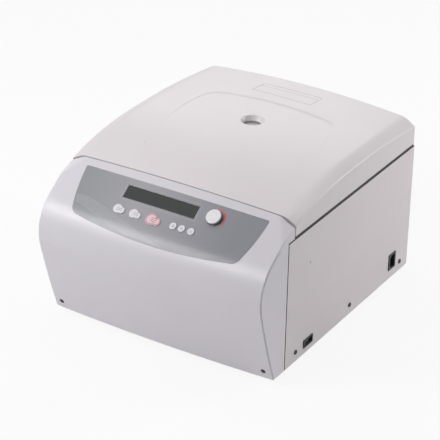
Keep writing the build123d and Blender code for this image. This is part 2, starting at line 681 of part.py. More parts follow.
def front_cover():
    outer = cover_outline()
    room = cover_form(COVER_WALL) & block(-FAR, FAR, -FAR, COVER_REAR_Y - COVER_WALL, 0, FAR)
    cover = outer - room
    for x, y, z in cover_screw_spots():
        boss = rod((x, y - MARGIN, z), (0, 1, 0), base_front() - y + MARGIN, COVER_BOSS_R)
        cover += boss & outer
        cover -= rod((x, y, z), (0, -1, 0), COVER_BOSS_R * 2, SCREW_HEAD_R + SCREW_SEAT_GAP)
        cover -= screw_hole((x, y, z), (0, -1, 0), COVER_SCREW_L)
    for x, s in board_posts():
        foot = flat_plane(x, s, -BOARD_DEPTH)
        cover += rod(foot.origin, foot.z_dir, BOARD_DEPTH, BOARD_POST_R) & outer
    cover -= display_opening()
    for name, x, kind, size in KEYS:
        cover -= panel_prism(key_outline(kind, size, KEY_GAP), x, KEY_S, -COVER_WALL * 2, COVER_WALL)
    cover -= panel_prism(Circle(ENCODER_BUSH_R + BUSH_GAP), KNOB_X, KNOB_S, -COVER_WALL * 2, COVER_WALL)
    return cover - cheek_grooves()


# ---------------------------------------------------------------- control panel
def overlay_outline():
    """Printed field of the control panel, drawn with its top edge at the parting line."""
    top = -OVERLAY_TOP
    low = -(OVERLAY_TOP + OVERLAY_H - OVERLAY_SAG)
    middle = (top + low) / 2
    bulge = (OVERLAY_HALF_TOP + OVERLAY_HALF_LOW) / 2 + OVERLAY_SIDE_BULGE
    top_edge = Line((-OVERLAY_HALF_TOP, top), (OVERLAY_HALF_TOP, top))
    right = ThreePointArc((OVERLAY_HALF_TOP, top), (bulge, middle), (OVERLAY_HALF_LOW, low))
    bottom = ThreePointArc((OVERLAY_HALF_LOW, low), (0, low - OVERLAY_SAG), (-OVERLAY_HALF_LOW, low))
    left = ThreePointArc((-OVERLAY_HALF_LOW, low), (-bulge, middle), (-OVERLAY_HALF_TOP, top))
    outline = make_face([top_edge, right, bottom, left])
    low_corners = outline.vertices().sort_by(Axis.Y)[:2]
    outline = fillet(low_corners, OVERLAY_CORNER_R)
    return fillet(outline.vertices().sort_by(Axis.Y)[-2:], OVERLAY_TOP_R)


def control_overlay():
    """Thin printed film that follows the bowed panel."""
    field = extrude(PANEL.offset(-2 * BOW) * overlay_outline(), 3 * BOW, dir=PANEL.z_dir)
    film = (bowed(front_profile(-OVERLAY_T)) & field) - bowed(front_profile(-OVERLAY_GLUE))
    film -= display_opening()
    for name, x, kind, size in KEYS:
        film -= panel_prism(key_outline(kind, size, KEY_GAP), x, KEY_S, -COVER_WALL, COVER_WALL)
    return film - panel_prism(Circle(ENCODER_BUSH_R + BUSH_GAP), KNOB_X, KNOB_S, -COVER_WALL, COVER_WALL)


def display_window():
    pane = Box(DISPLAY_W, DISPLAY_H, DISPLAY_T, align=(Align.CENTER, Align.CENTER, Align.MAX))
    return flat_plane(DISPLAY_X, DISPLAY_S, -DISPLAY_SINK) * pane


def display_module():
    """Liquid crystal module under the window: a circuit board and its glass cell."""
    w = DISPLAY_W + 2 * MODULE_BORDER
    h = DISPLAY_H + 2 * MODULE_BORDER
    high = (Align.CENTER, Align.CENTER, Align.MAX)
    cell = Box(DISPLAY_W, DISPLAY_H, MODULE_T - BOARD_T, align=high)
    module = cell + Pos(0, 0, BOARD_T - MODULE_T) * Box(w, h, BOARD_T, align=high)
    spacer_h = BOARD_DEPTH - COVER_WALL - MODULE_GAP - MODULE_T
    for corner in GridLocations(w - 2 * SPACER_INSET, h - 2 * SPACER_INSET, 2, 2):
        module += corner * Pos(0, 0, -MODULE_T) * Cylinder(SPACER_R, spacer_h, align=high)
    return flat_plane(DISPLAY_X, DISPLAY_S, -COVER_WALL - MODULE_GAP) * module


def control_board():
    board = flat_plane(BOARD_X, BOARD_S, -BOARD_DEPTH) * Box(
        BOARD_W, BOARD_H, BOARD_T, align=(Align.CENTER, Align.CENTER, Align.MAX))
    return board


def key_switches():
    """Tact switches on the board, one under each key."""
    switches = []
    low = (Align.CENTER, Align.CENTER, Align.MIN)
    for name, x, kind, size in KEYS:
        foot = panel_plane(x, KEY_S, board_rise(x, 0))
        body = Box(SWITCH_SIZE, SWITCH_SIZE, SWITCH_BODY_H, align=low)
        plunger = Cylinder(SWITCH_PLUNGER_R, SWITCH_BODY_H + SWITCH_PLUNGER_H, align=low)
        switches.append(foot * (body + plunger))
    return group(switches)


def key(x, kind, size):
    """Key cap with a retaining lip under the cover and a stem down to its switch."""
    top = OVERLAY_T + KEY_RISE
    lip_top = -COVER_WALL - KEY_LIP_GAP
    lip_low = lip_top - KEY_LIP_T
    cap = panel_prism(key_outline(kind, size), x, KEY_S, lip_low, top)
    rim = cap.faces().sort_by(Axis(PANEL.origin, PANEL.z_dir))[-1].edges()
    cap = fillet(rim, KEY_EDGE_R)
    lip = panel_prism(key_outline(kind, size, KEY_LIP), x, KEY_S, lip_low, lip_top)
    stem_low = board_rise(x, SWITCH_BODY_H + SWITCH_PLUNGER_H + KEY_TRAVEL + KEY_GAP)
    stem = panel_prism(Circle(KEY_STEM_R), x, KEY_S, stem_low, lip_top)
    return cap + lip + stem


def encoder_body():
    """Rotary encoder on the board: square body and threaded bush with the shaft's bore."""
    low = (Align.CENTER, Align.CENTER, Align.MIN)
    foot = panel_plane(KNOB_X, KNOB_S, board_rise(KNOB_X, 0))
    body = foot * Box(ENCODER_SIZE, ENCODER_SIZE, ENCODER_BODY_H, align=low)
    bush_low = board_rise(KNOB_X, ENCODER_BODY_H)
    bush = panel_prism(Circle(ENCODER_BUSH_R), KNOB_X, KNOB_S, bush_low, OVERLAY_T)
    bore = panel_prism(Circle(ENCODER_SHAFT_R + RUNNING_GAP), KNOB_X, KNOB_S, encoder_floor(), COVER_WALL)
    return body + bush - bore


def encoder_floor():
    """Rise of the blind end of the encoder's bore."""
    return board_rise(KNOB_X, ENCODER_BODY_H / 2)


def encoder_shaft():
    top = OVERLAY_T + KNOB_FLOAT + KNOB_H - KNOB_CAP_T - KNOB_SOCKET_TOP
    return panel_prism(Circle(ENCODER_SHAFT_R), KNOB_X, KNOB_S, encoder_floor() + KEY_GAP, top)


def knob_skirt():
    """Grip of the knob, with a ribbed side and the socket of the shaft."""
    low = OVERLAY_T + KNOB_FLOAT
    top = low + KNOB_H - KNOB_CAP_T
    grip = panel_prism(Circle(KNOB_R), KNOB_X, KNOB_S, low, top)
    grooves = Sketch() + PolarLocations(KNOB_R, KNOB_GROOVES) * Circle(KNOB_GROOVE_R)
    grip -= panel_prism(grooves, KNOB_X, KNOB_S, low - MARGIN, top - KNOB_STEP)
    socket = Circle(ENCODER_SHAFT_R + FIT_GAP)
    return grip - panel_prism(socket, KNOB_X, KNOB_S, low - MARGIN, top - KNOB_SOCKET_TOP)


def knob_cap():
    top = OVERLAY_T + KNOB_FLOAT + KNOB_H
    cap = panel_prism(Circle(KNOB_R - KNOB_STEP), KNOB_X, KNOB_S, top - KNOB_CAP_T, top)
    rim = cap.faces().sort_by(Axis(PANEL.origin, PANEL.z_dir))[-1].edges()
    return fillet(rim, KNOB_EDGE_R)


# ---------------------------------------------------------------- lid
def arc_drop(run, full_run, full_drop):
    """Drop below its highest point of an arc that falls by full_drop over full_run."""
    radius = (full_run ** 2 + full_drop ** 2) / (2 * full_drop)
    return radius - math.sqrt(radius ** 2 - run ** 2)


def lid_heights(y):
    """Heights of the lid's middle line, shoulder and side crease at a place along the cabinet."""
    run = abs(y - LID_APEX_Y)
    share = (y - LID_FRONT_Y) / (LID_REAR_Y - LID_FRONT_Y)
    crown = LID_CROWN_FRONT + (LID_CROWN_REAR - LID_CROWN_FRONT) * share
    if y < LID_APEX_Y:
        full = LID_APEX_Y - LID_FRONT_Y
        top = BODY_H - arc_drop(run, full, LID_FRONT_DROP)
        crease = BODY_H - CREASE_TOP - CREASE_FRONT_DROP * (run / full) ** CREASE_FRONT_POWER
    else:
        full = LID_REAR_Y - LID_APEX_Y
        top = BODY_H - arc_drop(run, full, LID_REAR_DROP)
        crease = BODY_H - CREASE_TOP - CREASE_REAR_DROP * (run / full) ** CREASE_REAR_POWER
    return top, top - crown, crease


def lid_section(y, inset):
    """Cross section of the lid, moved in by inset: crowned top, soft shoulders and upright sides."""
    top, shoulder, crease = (z - inset for z in lid_heights(y))
    half = HALF_W - inset
    inner = half - LID_SHOULDER_W
    foot = LID_BOTTOM - MARGIN
    crown = ThreePointArc((-inner, shoulder), (0, top), (inner, shoulder))
    sides = Polyline((inner, shoulder), (half, crease), (half, foot), (-half, foot), (-half, crease),
                     (-inner, shoulder))
    outline = make_face([crown, sides])
    outline = fillet([v for v in outline.vertices() if abs(v.Y - crease) < TOUCH], CREASE_R)
    outline = fillet([v for v in outline.vertices() if abs(v.Y - shoulder) < TOUCH], SHOULDER_R - inset)
    return Plane((0, y, 0), x_dir=(1, 0, 0), z_dir=(0, -1, 0)) * outline


def lid_form(inset):
    """Solid form of the lid, open-ended below, moved in by inset."""
    step = (LID_REAR_Y - LID_FRONT_Y) / (LID_STATIONS - 1)
    return loft([lid_section(LID_FRONT_Y + i * step, inset) for i in range(LID_STATIONS)])


def lid_outline():
    """Outer form of the lid, trimmed and with its edges rounded."""
    form = lid_form(0) & block(-FAR, FAR, LID_FRONT_Y, LID_REAR_Y, LID_BOTTOM, FAR)
    form = fillet(end_edges(form, LID_REAR_Y), LID_REAR_R)
    return fillet(end_edges(form, LID_FRONT_Y), LID_FRONT_R)


def end_edges(form, y):
    """Edges around one end of the lid, without the one along its bottom."""
    around = [e for e in form.edges() if abs(e.center().Y - y) < TOUCH]
    return [e for e in around if e.center().Z > LID_BOTTOM + LID_FRONT_R]


def plateau_tool():
    """Shallow dished field around the viewport, which fades out towards the front."""
    front_y = CHAMBER_Y - PLATEAU_FRONT
    rear_y = CHAMBER_Y + PLATEAU_REAR
    top = BODY_H + PLATEAU_DEPTH
    wall = math.degrees(math.atan(PLATEAU_EDGE_W / PLATEAU_DEPTH))
    lean = PLATEAU_EDGE_W / PLATEAU_DEPTH * (PLATEAU_DEPTH + LID_CROWN_REAR / 2)
    length = rear_y - front_y + PLATEAU_CORNER_R * 2
    field = RectangleRounded(2 * (PLATEAU_HALF_W + lean), length + 2 * lean, PLATEAU_CORNER_R + lean)
    start = Pos(0, rear_y - length / 2, top)
    prism = extrude(start * field, BODY_H - LID_CROWN_REAR - top, taper=wall)
    tilt = math.degrees(math.atan(PLATEAU_DEPTH / (rear_y - front_y)))
    floor = lid_form(0).rotate(Axis((0, front_y, BODY_H - LID_CROWN_FRONT), (1, 0, 0)), -tilt)
    return prism - floor


def lid_screw_spots():
    """Where the liner's screws stand, under the lid's bosses."""
    x = HALF_W - LID_BOSS_INSET
    front = LID_FRONT_Y + LID_BOSS_INSET
    ys = (front, (front + CHAMBER_Y) / 2, LINER_REAR - LID_BOSS_INSET)
    return [(side * x, y) for side in (-1, 1) for y in ys]


def lid_cover():
    outer = lid_outline()
    room = lid_form(LID_WALL) & block(-FAR, FAR, LID_FRONT_Y + LID_WALL, LID_REAR_Y - LID_WALL, 0, FAR)
    cover = outer - room
    for x, y in lid_screw_spots():
        cover += post(x, y, LINER_TOP, BODY_H, LID_BOSS_R) & outer
        cover -= post(x, y, LINER_Z - MARGIN, LINER_Z + SCREW_L + SCREW_HEAD_H, SCREW_R + SCREW_HOLE_GAP)
    cover += post(0, CHAMBER_Y, BODY_H - PORT_BOSS_H, BODY_H, PORT_BOSS_R) & outer
    cover -= plateau_tool()
    seat_z = BODY_H - PORT_SINK - PORT_PANE_T
    cover -= post(0, PORT_Y, seat_z, BODY_H - PORT_SINK, PORT_SEAT_R)
    cover -= post(0, PORT_Y, LINER_TOP, BODY_H, PORT_R)
    mouth = Pos(0, CHAMBER_Y, BODY_H) * Circle(PORT_RIM_R)
    cover -= loft([Pos(0, PORT_Y, BODY_H - PORT_SINK) * Circle(PORT_SEAT_R), mouth])
    cover -= post(0, CHAMBER_Y, BODY_H, BODY_H + MARGIN, PORT_RIM_R)
    middle = Vector(0, CHAMBER_Y, BODY_H)
    lip = min(cover.edges(), key=lambda e: (e.bounding_box().center() - middle).length)
    cover = fillet(lip, PORT_LIP_R)
    for x in hinge_xs():
        half = HINGE_W / 2 + NOTCH_GAP
        top = HINGE_Z + HINGE_EAR_R + NOTCH_GAP
        cover -= block(x - half, x + half, LID_REAR_Y - LID_REAR_R - LID_WALL, FAR, 0, top)
    pin_y = COVER_REAR_Y + LID_PIN_SET
    pin_z = lid_heights(pin_y)[0] - LID_CROWN_FRONT / 2 - LID_PIN_DEPTH
    return cover - post(LID_PIN_X, pin_y, pin_z, BODY_H, LID_PIN_R)


def lid_liner():
    """Steel pan that closes the lid from below, with turned-up edges."""
    half = HALF_W - LID_WALL - LINER_MARGIN
    front = LID_FRONT_Y + LID_WALL + LINER_MARGIN
    pan = block(-half, half, front, LINER_REAR, LINER_Z, LINER_TOP + LINER_LIP)
    pan -= block(-half + LINER_T, half - LINER_T, front + LINER_T, LINER_REAR - LINER_T, LINER_TOP, FAR)
    pan -= post(0, PORT_Y, LINER_Z - MARGIN, LINER_TOP + MARGIN, PORT_R)
    for x, y in lid_screw_spots():
        pan -= screw_hole((x, y, LINER_Z), (0, 0, -1))
    return pan


def viewport_pane():
    floor = BODY_H - PORT_SINK - PORT_PANE_T
    return post(0, PORT_Y, floor, floor + PORT_PANE_T, PORT_SEAT_R - PORT_PLAY)


def viewport_tube():
    return ring(0, PORT_Y, LINER_TOP, BODY_H - PORT_BOSS_H, PORT_R, PORT_R + TUBE_WALL)


def lid_hook():
    """Locking plate under the lid's front, with the window that the pawl enters."""
    foot = block(-HOOK_FOOT_W / 2, HOOK_FOOT_W / 2, LOCK_Y - HOOK_W / 2, LOCK_Y + HOOK_W / 2,
                 LINER_Z - HOOK_FOOT_T, LINER_Z)
    plate = block(-HOOK_T / 2, HOOK_T / 2, LOCK_Y - HOOK_W / 2, LOCK_Y + HOOK_W / 2, HOOK_TIP_Z, LINER_Z)
    tip = plate.edges().filter_by(Axis.X).group_by(Axis.Z)[0]
    plate = fillet(tip, HOOK_TIP_R)
    return foot + plate - rod((-HOOK_T, LOCK_Y, PAWL_Z), (1, 0, 0), 2 * HOOK_T, PAWL_R + PAWL_WINDOW_GAP)


# ---------------------------------------------------------------- hinge
def hinge_xs():
    return (HINGE_INSET - HALF_W, HALF_W - HINGE_INSET)


def hinge_bracket(x):
    """Deck bracket: a foot and two ears with the pin's bores."""
    half = HINGE_W / 2
    bracket = block(x - half, x + half, HINGE_Y - HINGE_FOOT_L, HINGE_Y + HINGE_EAR_R,
                    SIDE_TOP, SIDE_TOP + HINGE_FOOT_T)
    for side in (-1, 1):
        inner = x + side * (half - HINGE_EAR_T)
        outer = x + side * half
        ear = block(min(inner, outer), max(inner, outer), HINGE_Y - HINGE_EAR_R, HINGE_Y + HINGE_EAR_R,
                    SIDE_TOP, HINGE_Z)
        ear += rod((min(inner, outer), HINGE_Y, HINGE_Z), (1, 0, 0), HINGE_EAR_T, HINGE_EAR_R)
        bracket += ear
    return bracket - rod((x - HINGE_W, HINGE_Y, HINGE_Z), (1, 0, 0), 2 * HINGE_W, HINGE_PIN_R + FIT_GAP)


def hinge_pin(x):
    return rod((x - HINGE_W / 2, HINGE_Y, HINGE_Z), (1, 0, 0), HINGE_W, HINGE_PIN_R)


def hinge_leaf(x):
    """Lid side of a hinge: knuckle on the pin, arm over the liner's edge and foot on the liner."""
    half = HINGE_W / 2 - HINGE_EAR_T - HINGE_SIDE_GAP
    front = HINGE_Y - HINGE_ARM_L
    knuckle = rod((x - half, HINGE_Y, HINGE_Z), (1, 0, 0), 2 * half, HINGE_EAR_R)
    arm = block(x - half, x + half, front, HINGE_Y, HINGE_Z, HINGE_Z + HINGE_ARM_T)
    web = block(x - half, x + half, front, front + HINGE_ARM_T, LINER_TOP, HINGE_Z + HINGE_ARM_T)
    foot = block(x - half, x + half, front, front + HINGE_FOOT_L, LINER_TOP, LINER_TOP + HINGE_ARM_T)
    bore = rod((x - HINGE_W, HINGE_Y, HINGE_Z), (1, 0, 0), 2 * HINGE_W, HINGE_PIN_R + RUNNING_GAP)
    return knuckle + arm + web + foot - bore


# ---------------------------------------------------------------- cabinet
def side_screw_spots(side):
    front = SEAM_Y + SIDE_SCREW_FRONT
    rear = REAR_Y - SIDE_SCREW_REAR
    return [(side * HALF_W, y, SIDE_SCREW_Z) for y in (front, (front + rear) / 2, rear)]


def deck_screw_spots():
    x = SIDE_IN - PANEL_FLANGE / 2
    ys = (COVER_REAR_Y + DECK_SCREW_INSET, REAR_FLANGE_IN - DECK_SCREW_INSET)
    return [(side * x, y, SIDE_TOP) for side in (-1, 1) for y in ys]


def rear_screw_spots():
    x = SIDE_IN - PANEL_FLANGE / 2
    low = FOOT_H + REAR_SCREW_INSET
    high = DECK_UNDER - REAR_SCREW_INSET
    return [(side * x, REAR_PANEL_OUT, z) for side in (-1, 1) for z in (low, (low + high) / 2, high)]


def side_panel(side):
    """Side sheet with inward flanges along its top and rear edges."""
    front = SEAM_Y + COVER_GAP
    flange_top = DECK_UNDER
    sheet = block(SIDE_IN, HALF_W, front, REAR_Y, FOOT_H, SIDE_TOP)
    outer_edges = [e for e in sheet.edges() if abs(e.center().X - HALF_W) < TOUCH and (
        abs(e.center().Z - SIDE_TOP) < TOUCH or abs(e.center().Y - REAR_Y) < TOUCH)]
    sheet = fillet(outer_edges, SHEET_EDGE_R)
    sheet += block(SIDE_IN - PANEL_FLANGE, SIDE_IN, front, REAR_FLANGE_IN, flange_top - SHEET, flange_top)
    sheet += block(SIDE_IN - PANEL_FLANGE, SIDE_IN, REAR_FLANGE_IN, REAR_PANEL_IN, FOOT_H, flange_top)
    if side < 0:
        sheet = mirror(sheet, Plane.YZ)
    else:
        sheet -= inlet_body(SHEET_GAP, INLET_DEPTH)
        sheet -= switch_body(SHEET_GAP)
        hole = (HALF_W - MARGIN, SEAM_Y + RELEASE_HOLE_SET, SIDE_TOP - RELEASE_HOLE_DROP)
        sheet -= rod(hole, (1, 0, 0), 2 * MARGIN, RELEASE_HOLE_R)
    for spot in side_screw_spots(side):
        sheet -= screw_hole(spot, (side, 0, 0))
    for spot in deck_screw_spots():
        sheet -= screw_hole(spot, (0, 0, 1))
    for spot in rear_screw_spots():
        sheet -= screw_hole(spot, (0, 1, 0))
    return sheet


def foot_spots():
    """Centres of the feet under the base plate."""
    x = SIDE_IN - FOOT_INSET
    return [(i * x, y) for i in (-1, 1) for y in (base_front() + FOOT_INSET, REAR_FLANGE_IN - FOOT_INSET)]


def base_plate():
    """Steel floor pan with turned-up flanges, stand-offs, motor pillars and the holes of its feet."""
    narrow = HALF_W - COVER_WALL - CHEEK_DRAFT
    floor_y = SEAM_Y + COVER_GAP
    rear = REAR_FLANGE_IN - SHEET_GAP
    plate = block(-narrow, narrow, base_front(), floor_y, FOOT_H, BASE_TOP)
    plate += block(-SIDE_IN, SIDE_IN, floor_y, rear, FOOT_H, BASE_TOP)
    plate += block(-narrow, narrow, base_front(), base_front() + SHEET, BASE_TOP, BASE_TOP + BASE_FLANGE_H)
    for side in (-1, 1):
        x0, x1 = sorted((side * SIDE_IN, side * (SIDE_IN - SHEET)))
        plate += block(x0, x1, floor_y, rear, BASE_TOP, BASE_TOP + BASE_FLANGE_H)
        for spot in side_screw_spots(side):
            plate -= screw_hole(spot, (side, 0, 0))
    plate = plate - inlet_body(SHEET_GAP, INLET_DEPTH) - switch_body(SHEET_GAP)
    for spot in cover_screw_spots():
        plate -= screw_hole(spot, (0, -1, 0), COVER_SCREW_L)
    for x, y in drive_board_posts():
        plate += post(x, y, BASE_TOP, BASE_TOP + DRIVE_BOARD_RISE, DRIVE_BOARD_POST_R)
    for x, y in foot_spots():
        plate -= post(x, y, 0, BASE_TOP + MARGIN, FOOT_STUD_R + SCREW_HOLE_GAP)
    for x, y in damper_spots():
        plate += post(x, y, BASE_TOP, MOTOR_TOP - DAMPER_H, PILLAR_R)
    return plate


def rubber_foot(x, y):
    """Rubber foot with its moulded-in stud."""
    low = (Align.CENTER, Align.CENTER, Align.MIN)
    foot = Pos(x, y, 0) * Cone(FOOT_R, FOOT_R + FOOT_FLARE, FOOT_H, align=low)
    foot = fillet(foot.edges().group_by(Axis.Z)[0], FOOT_EDGE_R)
    return foot + post(x, y, FOOT_H, BASE_TOP + FOOT_STUD_H, FOOT_STUD_R)


def rear_panel():
    """Rear sheet with rows of cooling slots."""
    half = SIDE_IN - SHEET_GAP
    sheet = block(-half, half, REAR_PANEL_IN, REAR_PANEL_OUT, FOOT_H, SIDE_TOP)
    grid = GridLocations(VENT_COLUMN_PITCH, VENT_PITCH, VENT_COLUMNS, VENT_ROWS)
    vents = Plane((0, REAR_Y, VENT_Z), x_dir=(1, 0, 0), z_dir=(0, -1, 0)) * (
        Sketch() + grid * SlotOverall(VENT_L, VENT_W))
    sheet -= extrude(vents, 2 * MARGIN)
    for spot in rear_screw_spots():
        sheet -= screw_hole(spot, (0, 1, 0))
    return sheet


def lock_slot(low, high):
    """Slot that the lid's hook drops through."""
    half = HOOK_T / 2 + HOOK_SIDE_GAP
    front = LOCK_Y - HOOK_W / 2 - HOOK_FRONT_GAP
    rear = LOCK_Y + HOOK_W / 2 + HOOK_REAR_GAP
    return block(-half, half, front, rear, low, high)


def top_deck():
    """Steel deck around the chamber, under the lid."""
    half = SIDE_IN - SHEET_GAP
    deck = block(-half, half, DECK_FRONT, REAR_PANEL_IN - SHEET_GAP, DECK_UNDER, SIDE_TOP)
    deck -= post(0, CHAMBER_Y, 0, BODY_H, CHAMBER_R + CHAMBER_WALL + DECK_HOLE_GAP)
    deck -= lock_slot(0, BODY_H)
    for spot in deck_screw_spots():
        deck -= screw_hole(spot, (0, 0, 1))
    return deck


def cabinet_screws():
    """Identical pan-head screws of the side panels, deck and rear panel."""
    screws = [screw(spot, (side, 0, 0)) for side in (-1, 1) for spot in side_screw_spots(side)]
    screws += [screw(spot, (0, 0, 1)) for spot in deck_screw_spots()]
    screws += [screw(spot, (0, 1, 0)) for spot in rear_screw_spots()]
    return group(screws)


def cover_screws():
    return group(screw(spot, (0, -1, 0), COVER_SCREW_L) for spot in cover_screw_spots())


def lid_screws():
    return group(screw((x, y, LINER_Z), (0, 0, -1)) for x, y in lid_screw_spots())


# ---------------------------------------------------------------- chamber
def chamber_bowl():
    """Spun stainless bowl that hangs in the deck by its rim."""
    under = CHAMBER_FLOOR - CHAMBER_WALL
    outside = post(0, CHAMBER_Y, under, CHAMBER_RIM_TOP, CHAMBER_R + CHAMBER_WALL)
    outside = fillet(outside.edges().group_by(Axis.Z)[0], CHAMBER_CORNER_R + CHAMBER_WALL)
    inside = post(0, CHAMBER_Y, CHAMBER_FLOOR, BODY_H, CHAMBER_R)
    inside = fillet(inside.edges().group_by(Axis.Z)[0], CHAMBER_CORNER_R)
    bowl = outside + post(0, CHAMBER_Y, SIDE_TOP, CHAMBER_RIM_TOP, CHAMBER_RIM_R) - inside
    return bowl - post(0, CHAMBER_Y, 0, BODY_H, CHAMBER_HOLE_R)


def chamber_gasket():
    inner = CHAMBER_RIM_R - GASKET_SET - GASKET_W
    return ring(0, CHAMBER_Y, CHAMBER_RIM_TOP, LINER_Z - SEAL_GAP, inner, inner + GASKET_W)


def edge_seals():
    """Rubber strips along the upper edges of both side panels, under the sides of the lid."""
    outer = HALF_W - SHEET_EDGE_R
    strips = []
    for side in (-1, 1):
        x0, x1 = sorted((side * outer, side * (outer - EDGE_SEAL_W)))
        rear = REAR_PANEL_IN - SHEET_GAP
        strips.append(block(x0, x1, LID_FRONT_Y, rear, SIDE_TOP, SIDE_TOP + EDGE_SEAL_H))
    return group(strips)


def motor_boot():
    """Rubber collar between the motor plate and the chamber's floor."""
    outer = CHAMBER_HOLE_R - BOOT_PLAY
    inner = outer - BOOT_WALL
    low = ring(0, CHAMBER_Y, MOTOR_PLATE_TOP, MOTOR_PLATE_TOP + BOOT_WALL, inner, outer + BOOT_FLARE)
    sleeve = ring(0, CHAMBER_Y, MOTOR_PLATE_TOP, CHAMBER_FLOOR + BOOT_WALL, inner, outer)
    lip = ring(0, CHAMBER_Y, CHAMBER_FLOOR, CHAMBER_FLOOR + BOOT_WALL, inner, outer + BOOT_LIP)
    return low + sleeve + lip


# ---------------------------------------------------------------- lid lock
def lock_housing():
    """Block under the deck with the hook's slot and the pawl's bore."""
    half = LOCK_HALF_W
    front = LOCK_Y - HOOK_W / 2 - HOOK_FRONT_GAP - LOCK_END_WALL
    rear = LOCK_Y + HOOK_W / 2 + HOOK_REAR_GAP + LOCK_END_WALL
    body = block(-half, half, front, rear, DECK_UNDER - LOCK_H, DECK_UNDER) - lock_slot(0, BODY_H)
    blind = HOOK_T / 2 + PAWL_PARK - PAWL_TRAVEL - LOCK_BLIND_GAP
    return body - rod((blind, LOCK_Y, PAWL_Z), (1, 0, 0), 2 * half, PAWL_R + RUNNING_GAP)


def lock_solenoid():
    start = LOCK_HALF_W
    body = block(start, start + SOLENOID_L, LOCK_Y - SOLENOID_SIZE / 2, LOCK_Y + SOLENOID_SIZE / 2,
                 PAWL_Z - SOLENOID_SIZE / 2, PAWL_Z + SOLENOID_SIZE / 2)
    body = fillet(body.edges().filter_by(Axis.X), SOLENOID_EDGE_R)
    return body - rod((0, LOCK_Y, PAWL_Z), (1, 0, 0), start + 2 * SOLENOID_L, PAWL_R + RUNNING_GAP)


def lock_pawl():
    tip = HOOK_T / 2 + PAWL_PARK
    pawl = rod((tip, LOCK_Y, PAWL_Z), (1, 0, 0), PAWL_L, PAWL_R)
    return chamfer(pawl.edges().group_by(Axis.X)[0], PAWL_CHAMFER)


# ---------------------------------------------------------------- motor
def motor_housing():
    """Motor can with the spigot that centres it in its plate and holds the upper bearing."""
    can = post(0, CHAMBER_Y, CAN_BOTTOM, MOTOR_TOP, MOTOR_R)
    can += post(0, CHAMBER_Y, MOTOR_TOP, MOTOR_PLATE_TOP + SPIGOT_RISE, SPIGOT_R)
    can -= post(0, CHAMBER_Y, 0, MOTOR_TOP - MOTOR_WALL, MOTOR_R - MOTOR_WALL)
    can -= post(0, CHAMBER_Y, CAN_BOTTOM, UPPER_BEARING_Z + BEARING_W, BEARING_R)
    return can - post(0, CHAMBER_Y, CAN_BOTTOM, BODY_H, SHAFT_R + MOTOR_BORE_GAP)


def motor_end_cap():
    """Lower cap of the motor with the seat of the lower bearing."""
    cap = post(0, CHAMBER_Y, MOTOR_BOTTOM, CAN_BOTTOM, MOTOR_R)
    cap += post(0, CHAMBER_Y, CAN_BOTTOM, CAN_BOTTOM + BEARING_W, BEARING_R + MOTOR_WALL)
    return cap - post(0, CHAMBER_Y, CAN_BOTTOM, BODY_H, BEARING_R)


def motor_bearings():
    rings = [ring(0, CHAMBER_Y, z, z + BEARING_W, SHAFT_R + RUNNING_GAP, BEARING_R - FIT_GAP)
             for z in (CAN_BOTTOM, UPPER_BEARING_Z)]
    return group(rings)


def motor_stator():
    outer = MOTOR_R - MOTOR_WALL - FIT_GAP
    return ring(0, CHAMBER_Y, STATOR_LOW, STATOR_HIGH, outer - STATOR_T, outer)


def motor_magnet():
    outer = MOTOR_R - MOTOR_WALL - STATOR_T - MAGNET_GAP
    return ring(0, CHAMBER_Y, STATOR_LOW, STATOR_HIGH, SHAFT_R + FIT_GAP, outer)


def damper_spots():
    return [(i * DAMPER_SPREAD, CHAMBER_Y + j * DAMPER_SPREAD) for i in (-1, 1) for j in (-1, 1)]


def motor_mount_plate():
    half = MOTOR_PLATE / 2
    plate = block(-half, half, CHAMBER_Y - half, CHAMBER_Y + half, MOTOR_TOP, MOTOR_PLATE_TOP)
    plate = fillet(plate.edges().filter_by(Axis.Z), half - DAMPER_SPREAD)
    plate -= post(0, CHAMBER_Y, 0, BODY_H, SPIGOT_R + FIT_GAP)
    for x, y in damper_spots():
        plate -= post(x, y, 0, BODY_H, DAMPER_STUD_R + SCREW_HOLE_GAP)
    return plate


def motor_damper(x, y):
    """Rubber damper with a stud through the motor plate."""
    body = post(x, y, MOTOR_TOP - DAMPER_H, MOTOR_TOP, DAMPER_R)
    return body + post(x, y, MOTOR_TOP, MOTOR_PLATE_TOP + DAMPER_STUD_R, DAMPER_STUD_R)


def drive_shaft():
    """Motor shaft with the collar that carries the rotor and the thread of its nut."""
    shaft = post(0, CHAMBER_Y, CAN_BOTTOM + SHAFT_END_GAP, HUB_TOP - NUT_SEAT, SHAFT_R)
    shaft += post(0, CHAMBER_Y, HUB_BOTTOM - SHAFT_COLLAR_H, HUB_BOTTOM, SHAFT_R + SHAFT_COLLAR)
    return shaft + post(0, CHAMBER_Y, HUB_TOP - NUT_SEAT, HUB_TOP + NUT_H, THREAD_R)


